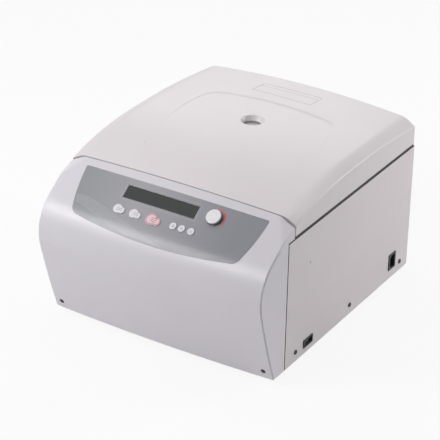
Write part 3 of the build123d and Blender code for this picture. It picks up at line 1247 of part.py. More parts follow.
# ---------------------------------------------------------------- rotor and carriers
def rotor_yoke():
    """Yoke: hub, cross bar and the two arms that hold the trunnion pins."""
    bar = block(-YOKE_BAR_W / 2, YOKE_BAR_W / 2, CHAMBER_Y - YOKE_OUTSIDE, CHAMBER_Y + YOKE_OUTSIDE,
                TRUNNION_Z - YOKE_BAR_H / 2, TRUNNION_Z + YOKE_BAR_H / 2)
    yoke = bar + post(0, CHAMBER_Y, HUB_BOTTOM, HUB_TOP, HUB_R)
    reach = TRUNNION_RADIUS + YOKE_ARM_END
    for side in (-1, 1):
        y0, y1 = sorted((CHAMBER_Y + side * YOKE_INSIDE, CHAMBER_Y + side * YOKE_OUTSIDE))
        arm = block(-reach, reach, y0, y1, TRUNNION_Z - YOKE_ARM_H / 2, TRUNNION_Z + YOKE_ARM_H / 2)
        yoke += fillet(arm.edges().filter_by(Axis.Y), YOKE_END_R)
    for x in (-TRUNNION_RADIUS, TRUNNION_RADIUS):
        start = (x, CHAMBER_Y - FAR / 2, TRUNNION_Z)
        yoke -= rod(start, (0, 1, 0), FAR, TRUNNION_PIN_R + FIT_GAP)
    return yoke - post(0, CHAMBER_Y, 0, BODY_H, SHAFT_R + FIT_GAP)


def trunnion_pins():
    """Four pins through the yoke's arms, from the outside into the carriers' end walls."""
    length = YOKE_OUTSIDE - POCKET_HALF_L
    pins = []
    for x in (-TRUNNION_RADIUS, TRUNNION_RADIUS):
        for side in (-1, 1):
            start = (x, CHAMBER_Y + side * YOKE_OUTSIDE, TRUNNION_Z)
            pins.append(rod(start, (0, -side, 0), length, TRUNNION_PIN_R))
    return group(pins)


def rotor_nut():
    """Hand nut that holds the yoke down, with a ribbed rim."""
    nut = post(0, CHAMBER_Y, HUB_TOP, HUB_TOP + NUT_H, NUT_R)
    nut = fillet(nut.edges().group_by(Axis.Z)[-1], NUT_EDGE_R)
    flutes = Sketch() + PolarLocations(NUT_R, NUT_GROOVES) * Circle(NUT_EDGE_R)
    nut -= extrude(Pos(0, CHAMBER_Y, HUB_TOP) * flutes, NUT_H)
    return nut - post(0, CHAMBER_Y, 0, BODY_H, THREAD_R + FIT_GAP)


def carrier_end():
    """End wall of a carrier in its own plane, drawn about the trunnion axis."""
    low = -CARRIER_DROP
    side_top = low + CARRIER_SIDE_H
    half = CARRIER_HALF_W
    lug = CARRIER_LUG_HALF
    outline = make_face(Polyline((-half, low), (half, low), (half, side_top), (lug, -CARRIER_LUG_H),
                                 (lug, CARRIER_LUG_H), (-lug, CARRIER_LUG_H), (-lug, -CARRIER_LUG_H),
                                 (-half, side_top), close=True))
    top = outline.vertices().group_by(Axis.Y)[-1]
    return fillet(top, CARRIER_LUG_R)


def plate_carrier(side):
    """Swing-out carrier for one plate: open tray, raised end walls and trunnion bosses."""
    x = side * TRUNNION_RADIUS
    low = TRUNNION_Z - CARRIER_DROP
    side_top = low + CARRIER_SIDE_H
    tray = block(x - CARRIER_HALF_W, x + CARRIER_HALF_W,
                 CHAMBER_Y - CARRIER_HALF_L, CHAMBER_Y + CARRIER_HALF_L, low, side_top)
    wall_plane = Plane((x, CHAMBER_Y, TRUNNION_Z), x_dir=(1, 0, 0), z_dir=(0, -1, 0))
    walls = extrude(wall_plane * carrier_end(), CARRIER_HALF_L, both=True)
    pocket = block(x - POCKET_HALF_W, x + POCKET_HALF_W,
                   CHAMBER_Y - POCKET_HALF_L, CHAMBER_Y + POCKET_HALF_L, low + CARRIER_FLOOR, BODY_H)
    over_walls = block(x - FAR, x + FAR,
                       CHAMBER_Y - POCKET_HALF_L, CHAMBER_Y + POCKET_HALF_L, side_top, BODY_H)
    carrier = tray + walls - over_walls - pocket
    carrier -= rod((x - FAR / 2, CHAMBER_Y, side_top + CARRIER_GRIP_RISE), (1, 0, 0), FAR, CARRIER_GRIP_R)
    for end in (-1, 1):
        y = CHAMBER_Y + end * CARRIER_HALF_L
        carrier += rod((x, y, TRUNNION_Z), (0, end, 0), TRUNNION_BOSS_T, TRUNNION_BOSS_R)
    return carrier - rod((x, CHAMBER_Y - FAR / 2, TRUNNION_Z), (0, 1, 0), FAR, TRUNNION_PIN_R + RUNNING_GAP)


def carrier_pad(side):
    x = side * TRUNNION_RADIUS
    low = TRUNNION_Z - CARRIER_DROP + CARRIER_FLOOR
    half_w = POCKET_HALF_W - PLATE_GAP
    half_l = POCKET_HALF_L - PLATE_GAP
    return block(x - half_w, x + half_w, CHAMBER_Y - half_l, CHAMBER_Y + half_l, low, low + CARRIER_PAD_T)


# ---------------------------------------------------------------- electrics
def drive_board_posts():
    """Stand-offs of the drive board on the base plate."""
    dx = DRIVE_BOARD_W / 2 - BOARD_POST_INSET
    dy = DRIVE_BOARD_D / 2 - BOARD_POST_INSET
    return [(DRIVE_BOARD_X + i * dx, drive_board_y() + j * dy) for i in (-1, 1) for j in (-1, 1)]


def drive_board_y():
    """Middle of the drive board, behind the front flange of the base."""
    return base_front() + DRIVE_BOARD_SET + DRIVE_BOARD_D / 2


def drive_board():
    """Motor controller board with its two storage capacitors."""
    low = BASE_TOP + DRIVE_BOARD_RISE
    top = low + DRIVE_BOARD_T
    board = Pos(DRIVE_BOARD_X, drive_board_y(), low) * Box(
        DRIVE_BOARD_W, DRIVE_BOARD_D, DRIVE_BOARD_T, align=(Align.CENTER, Align.CENTER, Align.MIN))
    for side in (-1, 1):
        y = drive_board_y() + side * (CAP_R + CAP_GAP / 2)
        board += post(DRIVE_BOARD_X - CAP_SET, y, top, top + CAP_H, CAP_R)
    return board


def heat_sink():
    """Finned heat sink of the motor controller."""
    low = BASE_TOP + DRIVE_BOARD_RISE + DRIVE_BOARD_T
    x0 = DRIVE_BOARD_X + DRIVE_BOARD_W / 2 - BOARD_POST_INSET * 2 - SINK_W
    y0 = drive_board_y() - SINK_D / 2
    sink = block(x0, x0 + SINK_W, y0, y0 + SINK_D, low, low + SINK_BASE_T)
    pitch = (SINK_W - SINK_FIN_T) / (SINK_FINS - 1)
    for i in range(SINK_FINS):
        sink += block(x0 + i * pitch, x0 + i * pitch + SINK_FIN_T, y0, y0 + SINK_D, low, low + SINK_H)
    return sink


def inlet_body(grow, depth):
    """Rear part of the power inlet, which fills its hole in the side panel."""
    half_w = INLET_W / 2 - INLET_BORDER + grow
    half_h = INLET_H / 2 - INLET_BORDER + grow
    return block(HALF_W - depth, HALF_W + grow, INLET_Y - half_w, INLET_Y + half_w,
                 INLET_Z - half_h, INLET_Z + half_h)


def power_inlet():
    """Appliance inlet: face, body, socket with two cut corners and three blades."""
    face = block(HALF_W, HALF_W + INLET_FACE_T, INLET_Y - INLET_W / 2, INLET_Y + INLET_W / 2,
                 INLET_Z - INLET_H / 2, INLET_Z + INLET_H / 2)
    face = fillet(face.edges().filter_by(Axis.X), INLET_EDGE_R)
    mouth = Rectangle(INLET_MOUTH_W, INLET_MOUTH_H)
    mouth = chamfer(mouth.vertices().group_by(Axis.X)[0], INLET_CORNER)
    mouth_plane = Plane((HALF_W + INLET_FACE_T, INLET_Y, INLET_Z), x_dir=(0, 1, 0), z_dir=(1, 0, 0))
    inlet = face + inlet_body(0, INLET_DEPTH) - extrude(mouth_plane * mouth, -INLET_MOUTH_DEPTH)
    floor_x = HALF_W + INLET_FACE_T - INLET_MOUTH_DEPTH
    for step in (-1, 0, 1):
        y = INLET_Y + (PIN_STAGGER / 2 if step else -PIN_STAGGER / 2)
        z = INLET_Z + step * PIN_PITCH
        inlet += block(floor_x, floor_x + PIN_L, y - PIN_W / 2, y + PIN_W / 2, z - PIN_T / 2, z + PIN_T / 2)
    return inlet


def switch_body(grow):
    """Rear part of the mains switch, which fills its hole in the side panel."""
    half_w = SWITCH_W / 2 - SWITCH_LAND + grow
    half_h = SWITCH_H / 2 - SWITCH_LAND + grow
    return block(HALF_W - SWITCH_DEPTH, HALF_W + grow, SWITCH_Y - half_w, SWITCH_Y + half_w,
                 SWITCH_Z - half_h, SWITCH_Z + half_h)


def switch_housing():
    """Frame and body of the mains switch, with the rocker's well and pivot bores."""
    face = block(HALF_W, HALF_W + SWITCH_FACE_T, SWITCH_Y - SWITCH_W / 2, SWITCH_Y + SWITCH_W / 2,
                 SWITCH_Z - SWITCH_H / 2, SWITCH_Z + SWITCH_H / 2)
    face = fillet(face.edges().filter_by(Axis.X), INLET_EDGE_R)
    half_w = SWITCH_W / 2 - SWITCH_BORDER
    half_h = SWITCH_H / 2 - SWITCH_BORDER
    well = block(HALF_W - SWITCH_DEPTH / 2, FAR, SWITCH_Y - half_w, SWITCH_Y + half_w,
                 SWITCH_Z - half_h, SWITCH_Z + half_h)
    reach = half_h + ROCKER_STUB + ROCKER_GAP
    start = (ROCKER_PIVOT_X, SWITCH_Y, SWITCH_Z - reach)
    bore = rod(start, (0, 0, 1), 2 * reach, ROCKER_PIN_R + RUNNING_GAP)
    return face + switch_body(0) - well - bore


def power_rocker():
    """Rocker of the mains switch, tipped to its off side, with two pivot stubs."""
    half_w = SWITCH_W / 2 - SWITCH_BORDER - 2 * ROCKER_GAP
    half_h = SWITCH_H / 2 - SWITCH_BORDER - ROCKER_GAP
    low_w = half_w - ROCKER_TAPER
    nose_w = half_w - ROCKER_NOSE
    inner = ROCKER_HORN - ROCKER_T
    slant = ROCKER_HORN - ROCKER_SLANT
    middle = ROCKER_HORN - ROCKER_DISH
    outline = make_face(Polyline((inner, -low_w), (inner, low_w), (slant, half_w), (ROCKER_HORN, nose_w),
                                 (middle, 0), (ROCKER_HORN, -nose_w), (slant, -half_w), close=True))
    body = extrude(outline, half_h, both=True)
    body += Cylinder(ROCKER_PIN_R, 2 * (SWITCH_H / 2 - SWITCH_BORDER + ROCKER_STUB))
    return Pos(ROCKER_PIVOT_X, SWITCH_Y, SWITCH_Z) * Rot(0, 0, ROCKER_TILT) * body


# ---------------------------------------------------------------- all pieces
def main():
    os.makedirs("parts", exist_ok=True)
    save("front_cover", front_cover())
    save("control_overlay", control_overlay())
    save("display_window", display_window())
    save("display_module", display_module())
    save("control_board", control_board())
    save("key_switches", key_switches())
    for name, x, kind, size in KEYS:
        save(name, key(x, kind, size))
    save("encoder_body", encoder_body())
    save("encoder_shaft", encoder_shaft())
    save("knob_skirt", knob_skirt())
    save("knob_cap", knob_cap())
    save("lid_cover", lid_cover())
    save("lid_liner", lid_liner())
    save("viewport_pane", viewport_pane())
    save("viewport_tube", viewport_tube())
    save("lid_hook", lid_hook())
    save("lid_screws", lid_screws())
    save("hinge_brackets", group(hinge_bracket(x) for x in hinge_xs()))
    save("hinge_pins", group(hinge_pin(x) for x in hinge_xs()))
    save("hinge_leaves", group(hinge_leaf(x) for x in hinge_xs()))
    save("side_panel_left", side_panel(-1))
    save("side_panel_right", side_panel(1))
    save("base_plate", base_plate())
    save("rubber_feet", group(rubber_foot(x, y) for x, y in foot_spots()))
    save("rear_panel", rear_panel())
    save("top_deck", top_deck())
    save("cabinet_screws", cabinet_screws())
    save("cover_screws", cover_screws())
    save("chamber_bowl", chamber_bowl())
    save("chamber_gasket", chamber_gasket())
    save("edge_seals", edge_seals())
    save("motor_boot", motor_boot())
    save("lock_housing", lock_housing())
    save("lock_solenoid", lock_solenoid())
    save("lock_pawl", lock_pawl())
    save("motor_housing", motor_housing())
    save("motor_end_cap", motor_end_cap())
    save("motor_bearings", motor_bearings())
    save("motor_stator", motor_stator())
    save("motor_magnet", motor_magnet())
    save("motor_mount_plate", motor_mount_plate())
    save("motor_dampers", group(motor_damper(x, y) for x, y in damper_spots()))
    save("drive_shaft", drive_shaft())
    save("rotor_yoke", rotor_yoke())
    save("trunnion_pins", trunnion_pins())
    save("rotor_nut", rotor_nut())
    for index, side in ((1, 1), (2, -1)):
        save(f"plate_carrier_{index}", plate_carrier(side))
        save(f"carrier_pad_{index}", carrier_pad(side))
    save("drive_board", drive_board())
    save("heat_sink", heat_sink())
    save("power_inlet", power_inlet())
    save("switch_housing", switch_housing())
    save("power_rocker", power_rocker())


if __name__ == "__main__":
    main()
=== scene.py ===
import math

import bmesh
import bpy
from mathutils import Matrix, Vector
from mathutils.bvhtree import BVHTree


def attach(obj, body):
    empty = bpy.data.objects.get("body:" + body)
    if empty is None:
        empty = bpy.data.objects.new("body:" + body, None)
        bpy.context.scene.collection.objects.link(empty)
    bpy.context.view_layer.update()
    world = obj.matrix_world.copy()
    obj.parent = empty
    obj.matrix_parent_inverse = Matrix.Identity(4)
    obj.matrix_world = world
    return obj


# Looks of a bench centrifuge for microplates.  Everything is in metres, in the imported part's frame.

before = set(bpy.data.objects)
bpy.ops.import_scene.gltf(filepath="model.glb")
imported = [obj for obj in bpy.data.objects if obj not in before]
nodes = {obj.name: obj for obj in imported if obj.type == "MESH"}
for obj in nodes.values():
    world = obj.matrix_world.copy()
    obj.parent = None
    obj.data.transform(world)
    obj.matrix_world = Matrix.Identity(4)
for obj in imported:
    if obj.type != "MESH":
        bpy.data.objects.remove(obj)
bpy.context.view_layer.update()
MM = 0.001


# ---------------------------------------------------------------- node materials
class Shader:
    """Small helper that builds one procedural material on a Principled shader."""

    def __init__(self, name, color, rough, metal=0.0):
        self.mat = bpy.data.materials.new(name)
        self.mat.use_nodes = True
        self.tree = self.mat.node_tree
        self.bsdf = next(n for n in self.tree.nodes if n.type == "BSDF_PRINCIPLED")
        self.set("Base Color", (*color, 1.0))
        self.set("Roughness", rough)
        self.set("Metallic", metal)
        self.color = color
        self.coords = self.node("ShaderNodeTexCoord").outputs["Object"]
        self.height = None

    def set(self, socket, value):
        self.bsdf.inputs[socket].default_value = value
        return self

    def node(self, kind, **values):
        made = self.tree.nodes.new(kind)
        for key, value in values.items():
            setattr(made, key, value)
        return made

    def link(self, out, into):
        self.tree.links.new(out, into)

    def stretched(self, scale):
        """Object coordinates multiplied along X, Y and Z."""
        mapping = self.node("ShaderNodeMapping")
        mapping.inputs["Scale"].default_value = scale
        self.link(self.coords, mapping.inputs["Vector"])
        return mapping.outputs["Vector"]

    def noise(self, scale, detail=3.0, roughness=0.55, vector=None):
        tex = self.node("ShaderNodeTexNoise")
        tex.inputs["Scale"].default_value = scale
        tex.inputs["Detail"].default_value = detail
        tex.inputs["Roughness"].default_value = roughness
        self.link(vector or self.coords, tex.inputs["Vector"])
        return tex.outputs["Fac"]

    def math(self, operation, a, b=0.0, clamp=False):
        made = self.node("ShaderNodeMath", operation=operation, use_clamp=clamp)
        for socket, value in zip(made.inputs, (a, b)):
            if isinstance(value, (int, float)):
                socket.default_value = value
            else:
                self.link(value, socket)
        return made.outputs[0]

    def spread(self, value, low, high, low_in=0.3, high_in=0.7):
        """A texture value mapped from one span to another."""
        made = self.node("ShaderNodeMapRange")
        for name, number in (("From Min", low_in), ("From Max", high_in), ("To Min", low), ("To Max", high)):
            made.inputs[name].default_value = number
        self.link(value, made.inputs["Value"])
        return made.outputs["Result"]

    def blend_colors(self, factor, first, second):
        """Colour that runs from first to second with a factor; either may be a socket."""
        made = self.node("ShaderNodeMix", data_type="RGBA")
        self.link(factor, made.inputs[0])
        for socket, value in ((made.inputs[6], first), (made.inputs[7], second)):
            if isinstance(value, tuple):
                socket.default_value = (*value, 1.0)
            else:
                self.link(value, socket)
        return made.outputs[2]

    def vary_color(self, factor, other):
        current = self.bsdf.inputs["Base Color"]
        first = current.links[0].from_socket if current.is_linked else self.color
        self.link(self.blend_colors(factor, first, other), current)
        return self

    def vary_rough(self, factor, low, high):
        self.link(self.spread(factor, low, high), self.bsdf.inputs["Roughness"])
        return self

    def bump(self, height, distance, strength=1.0):
        made = self.node("ShaderNodeBump")
        made.inputs["Strength"].default_value = strength
        made.inputs["Distance"].default_value = distance
        self.link(height, made.inputs["Height"])
        if self.height:
            self.link(self.height, made.inputs["Normal"])
        self.height = made.outputs["Normal"]
        self.link(self.height, self.bsdf.inputs["Normal"])
        return self


def tone(color, factor):
    return tuple(min(1.0, c * factor) for c in color)


def moulded(name, color, rough=0.42, grain=1400.0, depth=0.012 * MM, cloud=0.97):
    """Fine-grained injection moulding with a soft sheen."""
    s = Shader(name, color, rough)
    s.vary_color(s.spread(s.noise(9.0, 4.0), 0.0, 1.0), tone(color, cloud))
    s.vary_rough(s.noise(55.0, 5.0), rough - 0.05, rough + 0.06)
    s.bump(s.noise(grain, 2.0), depth)
    return s


def powder_coat(name, color, rough=0.46):
    """Sprayed sheet metal: orange peel and very faint clouds."""
    s = Shader(name, color, rough)
    s.vary_color(s.spread(s.noise(6.0, 3.0), 0.0, 1.0), tone(color, 0.97))
    s.vary_rough(s.noise(220.0, 3.0), rough - 0.06, rough + 0.08)
    s.bump(s.noise(650.0, 2.0), 0.02 * MM)
    return s


def brushed(name, color, rough, direction):
    """Metal with fine parallel scratches across a direction."""
    s = Shader(name, color, rough, 1.0)
    lines = s.noise(1.0, 4.0, 0.7, s.stretched(direction))
    s.vary_color(s.spread(lines, 0.0, 1.0), tone(color, 0.86))
    s.vary_rough(lines, rough - 0.08, rough + 0.12)
    s.bump(lines, 0.01 * MM)
    return s


def turned(name, color, rough, centre, pitch=2600.0):
    """Metal turned or spun about an upright axis, with rings from the tool."""
    s = Shader(name, color, rough, 1.0)
    mapping = s.node("ShaderNodeMapping")
    mapping.inputs["Location"].default_value = (-centre[0], -centre[1], 0)
    s.link(s.coords, mapping.inputs["Vector"])
    split = s.node("ShaderNodeSeparateXYZ")
    s.link(mapping.outputs["Vector"], split.inputs[0])
    xx = s.math("MULTIPLY", split.outputs[0], split.outputs[0])
    yy = s.math("MULTIPLY", split.outputs[1], split.outputs[1])
    radius = s.math("SQRT", s.math("ADD", xx, yy))
    join = s.node("ShaderNodeCombineXYZ")
    s.link(s.math("MULTIPLY", radius, pitch), join.inputs[0])
    s.link(s.math("MULTIPLY", split.outputs[2], pitch), join.inputs[2])
    rings = s.noise(1.0, 3.0, 0.7, join.outputs[0])
    s.vary_color(s.spread(rings, 0.0, 1.0), tone(color, 0.84))
    s.vary_rough(rings, rough - 0.07, rough + 0.12)
    s.bump(rings, 0.008 * MM)
    return s


def cast(name, color, rough=0.5):
    """Bead-blasted casting."""
    s = Shader(name, color, rough, 1.0)
    s.vary_color(s.spread(s.noise(40.0, 5.0), 0.0, 1.0), tone(color, 0.85))
    s.vary_rough(s.noise(120.0, 4.0), rough - 0.08, rough + 0.1)
    s.bump(s.noise(900.0, 3.0), 0.05 * MM)
    return s


def rubber(name, color, rough=0.75):
    s = Shader(name, color, rough)
    s.vary_color(s.spread(s.noise(80.0, 5.0), 0.0, 1.0), tone(color, 1.5))
    s.vary_rough(s.noise(200.0, 4.0), rough - 0.08, rough + 0.08)
    s.bump(s.noise(1500.0, 3.0), 0.04 * MM)
    return s


def circuit(name, color):
    """Solder mask with a faint pattern of tracks."""
    s = Shader(name, color, 0.4)
    tracks = s.node("ShaderNodeTexBrick")
    tracks.inputs["Scale"].default_value = 260.0
    tracks.inputs["Mortar Size"].default_value = 0.06
    tracks.inputs["Color1"].default_value = (*color, 1.0)
    tracks.inputs["Color2"].default_value = (*tone(color, 0.85), 1.0)
    tracks.inputs["Mortar"].default_value = (*tone(color, 1.7), 1.0)
    s.link(s.coords, tracks.inputs["Vector"])
    s.link(tracks.outputs["Color"], s.bsdf.inputs["Base Color"])
    s.vary_rough(s.noise(300.0), 0.32, 0.48)
    s.bump(tracks.outputs["Fac"], 0.03 * MM)
    return s


def gloss(name, color, rough=0.2, coat=0.3):
    """Smooth plastic with a thin clear coat."""
    s = Shader(name, color, rough)
    s.set("Coat Weight", coat).set("Coat Roughness", 0.12)
    s.vary_color(s.spread(s.noise(140.0, 3.0), 0.0, 1.0), tone(color, 0.95))
    s.vary_rough(s.noise(260.0, 4.0), rough - 0.04, rough + 0.06)
    s.bump(s.noise(1800.0, 2.0), 0.006 * MM)
    return s


def paint_nodes(shader, *names):
    for name in names:
        obj = nodes[name]
        obj.data.materials.clear()
        obj.data.materials.append(shader.mat)


AXIS_XY = (0.0, 0.0715)
WHITE = (0.745, 0.695, 0.715)
SHEET_WHITE = (0.735, 0.68, 0.70)
COOL_WHITE = (0.735, 0.705, 0.76)
# Painted shadow: a near-black tone for the seams and a mid-grey tone for the lid's parting line, painted on
# the faces that line those gaps in place of their shade; the bands below give how far each reaches.
SEAM_SHADOW_PAINT = (0.03, 0.028, 0.03)
PARTING_SHADOW_PAINT = (0.48, 0.46, 0.47)
LID_FRONT = -0.1509
LID_LOW = 0.2492
PANEL_FRONT = -0.1698
PANEL_TOP = 0.245
LID_FRONT_BAND = 0.25 * MM
LID_LOW_BAND = 1.3 * MM
PANEL_FRONT_BAND = 0.3 * MM
PANEL_TOP_BAND = 1.1 * MM


def paint_seam_shadows(shader, *cuts):
    """Painted shadow on the faces that line a seam, in place of the shade inside the gap; each cut is (axis,
    place, sign, shade).
    """
    split = shader.node("ShaderNodeSeparateXYZ")
    shader.link(shader.coords, split.inputs[0])
    for axis, place, sign, shade in cuts:
        side = shader.math("GREATER_THAN" if sign > 0 else "LESS_THAN", split.outputs[axis], place)
        shader.vary_color(side, shade)
    return shader


# The lid and both side panels carry painted shadow in bands along their seams and along the parting line.
lid_white = moulded("lid_white", WHITE, 0.34)
paint_nodes(paint_seam_shadows(lid_white, (1, LID_FRONT + LID_FRONT_BAND, -1, PARTING_SHADOW_PAINT),
                        (2, LID_LOW + LID_LOW_BAND, -1, SEAM_SHADOW_PAINT)), "lid_cover")
paint_nodes(moulded("cover_white", COOL_WHITE, 0.34), "front_cover")
panel_white = powder_coat("white_powder_coat", SHEET_WHITE)
paint_nodes(paint_seam_shadows(panel_white, (1, PANEL_FRONT + PANEL_FRONT_BAND, -1, SEAM_SHADOW_PAINT),
                        (2, PANEL_TOP - PANEL_TOP_BAND, 1, SEAM_SHADOW_PAINT)),
            "side_panel_left", "side_panel_right")
paint_nodes(powder_coat("rear_powder_coat", SHEET_WHITE), "rear_panel", "top_deck")


# Painted sheen: the film is painted lighter about its middle in place of a reflection there.
FILM_SHEEN_SPAN = (-0.05, 0.13)       # along X, from its lightest place to where it is plain
FILM_LEFT = (-0.19, -0.06)


def overlay_film():
    """Grey film with a painted sheen that makes it a little lighter towards its middle, and greener towards
    its left.
    """
    base = (0.255, 0.255, 0.29)
    s = Shader("grey_film", base, 0.34)
    split = s.node("ShaderNodeSeparateXYZ")
    s.link(s.coords, split.inputs[0])
    # painted sheen, lighter towards the middle
    s.vary_color(s.spread(split.outputs[0], 1.0, 0.0, *FILM_SHEEN_SPAN), (0.37, 0.362, 0.39))
    s.vary_color(s.spread(split.outputs[0], 1.0, 0.0, *FILM_LEFT), (0.27, 0.285, 0.30))
    s.vary_rough(s.noise(90.0, 4.0), 0.3, 0.4)
    s.bump(s.noise(2200.0, 2.0), 0.01 * MM)
    return s


paint_nodes(overlay_film(), "control_overlay")


def display_shader():
    """Tinted window with the faint dot rows of the cell behind it."""
    base = (0.013, 0.019, 0.016)
    s = Shader("display_tint", base, 0.16)
    s.set("Coat Weight", 0.3).set("Coat Roughness", 0.08)
    dots = s.node("ShaderNodeTexBrick")
    dots.inputs["Scale"].default_value = 900.0
    dots.inputs["Mortar Size"].default_value = 0.03
    dots.inputs["Color1"].default_value = (*base, 1.0)
    dots.inputs["Color2"].default_value = (*tone(base, 1.15), 1.0)
    dots.inputs["Mortar"].default_value = (*tone(base, 0.7), 1.0)
    s.link(s.coords, dots.inputs["Vector"])
    s.link(dots.outputs["Color"], s.bsdf.inputs["Base Color"])
    s.vary_rough(s.noise(60.0), 0.12, 0.2)
    return s


paint_nodes(display_shader(), "display_window")
paint_nodes(gloss("key_white", (0.85, 0.83, 0.885)), "start_key", "mode_key",
            "step_key_1", "step_key_2", "step_key_3")
paint_nodes(gloss("key_pink", (0.82, 0.70, 0.74)), "stop_key")
paint_nodes(gloss("knob_white", (0.92, 0.89, 0.92), 0.28), "knob_cap")
paint_nodes(moulded("knob_grey", (0.16, 0.155, 0.18), 0.45), "knob_skirt")
paint_nodes(moulded("black_moulding", (0.012, 0.012, 0.013), 0.5, 1100.0, 0.03 * MM, 1.3),
            "power_inlet", "switch_housing", "lock_housing", "viewport_tube", "key_switches")
paint_nodes(gloss("black_rocker", (0.018, 0.018, 0.02), 0.25), "power_rocker")
paint_nodes(brushed("black_screw", (0.09, 0.09, 0.095), 0.38, (900, 900, 60)), "cover_screws")
paint_nodes(brushed("dark_screw", (0.07, 0.068, 0.07), 0.4, (900, 60, 900)), "cabinet_screws")
paint_nodes(turned("spun_steel", (0.66, 0.66, 0.65), 0.28, AXIS_XY, 900.0), "chamber_bowl")
paint_nodes(brushed("brushed_steel", (0.66, 0.66, 0.66), 0.3, (25, 1400, 1400)), "lid_liner", "lock_pawl")
paint_nodes(brushed("bright_steel", (0.72, 0.72, 0.72), 0.22, (60, 900, 900)), "hinge_pins", "trunnion_pins",
            "motor_bearings", "drive_shaft", "encoder_shaft")
paint_nodes(cast("zinc_steel", (0.55, 0.55, 0.56), 0.42), "base_plate", "hinge_brackets", "hinge_leaves",
            "lid_hook", "lid_screws", "lock_solenoid", "encoder_body")
paint_nodes(cast("cast_alloy", (0.5, 0.51, 0.52)), "motor_housing", "motor_end_cap", "motor_mount_plate")
paint_nodes(cast("anodised_alloy", (0.42, 0.44, 0.47), 0.36), "rotor_yoke",
            "plate_carrier_1", "plate_carrier_2")
paint_nodes(turned("turned_alloy", (0.5, 0.52, 0.55), 0.3, AXIS_XY), "rotor_nut")
paint_nodes(cast("black_heat_sink", (0.05, 0.05, 0.052), 0.45), "heat_sink", "motor_magnet")
paint_nodes(rubber("black_rubber", (0.02, 0.02, 0.021)), "rubber_feet", "motor_dampers", "motor_boot",
            "edge_seals")
paint_nodes(rubber("grey_rubber", (0.11, 0.11, 0.115)), "chamber_gasket", "carrier_pad_1", "carrier_pad_2")
paint_nodes(circuit("solder_mask", (0.02, 0.13, 0.05)), "control_board", "drive_board", "display_module")
paint_nodes(brushed("copper_core", (0.62, 0.3, 0.16), 0.4, (40, 40, 1600)), "motor_stator")


def pane_shader():
    """Smoked clear pane of the viewport."""
    s = Shader("viewport_pane", (0.145, 0.14, 0.14), 0.1)
    s.set("Coat Weight", 0.4).set("Coat Roughness", 0.05)
    s.vary_color(s.spread(s.noise(70.0, 4.0), 0.0, 1.0), (0.115, 0.11, 0.115))
    s.vary_rough(s.noise(150.0), 0.07, 0.14)
    s.bump(s.noise(400.0), 0.004 * MM)
    return s


paint_nodes(pane_shader(), "viewport_pane")


# ---------------------------------------------------------------- printed lines
def surface(name):
    mesh = nodes[name].data
    return BVHTree.FromPolygons([v.co for v in mesh.vertices], [p.vertices for p in mesh.polygons])


def drape(tree, points, direction, reach=0.1):
    """Points dropped onto a surface along a direction, with the surface's outward normals."""
    hits = []
    for point in points:
        start = point - direction * reach
        spot, normal, _, _ = tree.ray_cast(start, direction, 3 * reach)
        if spot is not None:
            if normal.dot(direction) > 0:
                normal = -normal
            hits.append((spot, normal))
    return hits


def new_piece(name, bm, shader, body):
    mesh = bpy.data.meshes.new(name)
    bmesh.ops.recalc_face_normals(bm, faces=bm.faces)
    bm.to_mesh(mesh)
    bm.free()
    piece = bpy.data.objects.new(name, mesh)
    bpy.context.scene.collection.objects.link(piece)
    mesh.materials.append(shader.mat)
    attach(piece, body)
    return piece


def print_lines(name, tree, lines, direction, shader, body, closed=False, lift=0.02 * MM, thick=0.03 * MM):
    """Thin raised ribbons that follow a surface; each line is (points, width or widths)."""
    bm = bmesh.new()
    for points, width in lines:
        hits = drape(tree, points, direction)
        count = len(hits)
        widths = width if isinstance(width, (list, tuple)) else [width] * count
        rows = []
        for i, (spot, normal) in enumerate(hits):
            ahead = hits[(i + 1) % count][0] if closed or i + 1 < count else spot
            behind = hits[i - 1][0] if closed or i > 0 else spot
            side = normal.cross(ahead - behind).normalized() * widths[min(i, len(widths) - 1)] / 2
            low, high = normal * lift, normal * (lift + thick)
            ring = (-side + low, side + low, side + high, -side + high)
            rows.append([bm.verts.new(spot + offset) for offset in ring])
        spans = range(count if closed else count - 1)
        for i in spans:
            here, after = rows[i], rows[(i + 1) % count]
            for k in range(4):
                bm.faces.new((here[k], here[(k + 1) % 4], after[(k + 1) % 4], after[k]))
        if not closed and rows:
            bm.faces.new(rows[0][::-1])
            bm.faces.new(rows[-1])
    return new_piece(name, bm, shader, body)


def rounded_rectangle(cx, cy, w, h, r, steps=6):
    """Corner-rounded outline as (x, y) pairs, closed."""
    out = []
    for k, (sx, sy) in enumerate(((1, 1), (-1, 1), (-1, -1), (1, -1))):
        for i in range(steps + 1):
            a = math.radians(90 * k + 90 * i / steps)
            out.append((cx + sx * (w / 2 - r) + r * math.cos(a), cy + sy * (h / 2 - r) + r * math.sin(a)))
    return out


def dense(points, step):
    """The same open path with points at most a step apart."""
    out = [points[0]]
    for a, b in zip(points, points[1:]):
        count = max(1, math.ceil((Vector(b) - Vector(a)).length / step))
        out += [tuple(Vector(a).lerp(Vector(b), i / count)) for i in range(1, count + 1)]
    return out


SLOPE = math.radians(35.0)
PANEL_ORIGIN = Vector((0.0, -0.1533, 0.2831))
PANEL_DOWN = Vector((0, -math.cos(SLOPE), -math.sin(SLOPE)))
PANEL_OUT = Vector((0, -math.sin(SLOPE), math.cos(SLOPE)))
overlay_tree = surface("control_overlay")


def panel_points(pairs):
    """Points over the control panel from (x, s) in millimetres, s down the slope."""
    return [PANEL_ORIGIN + Vector((x * MM, 0, 0)) + PANEL_DOWN * s * MM for x, s in pairs]


def print_on_panel(name, lines, shader, closed=False):
    made = [(panel_points(path), [w * MM for w in width] if isinstance(width, list) else width * MM)
            for path, width in lines]
    return print_lines(name, overlay_tree, made, -PANEL_OUT, shader, "cabinet", closed)


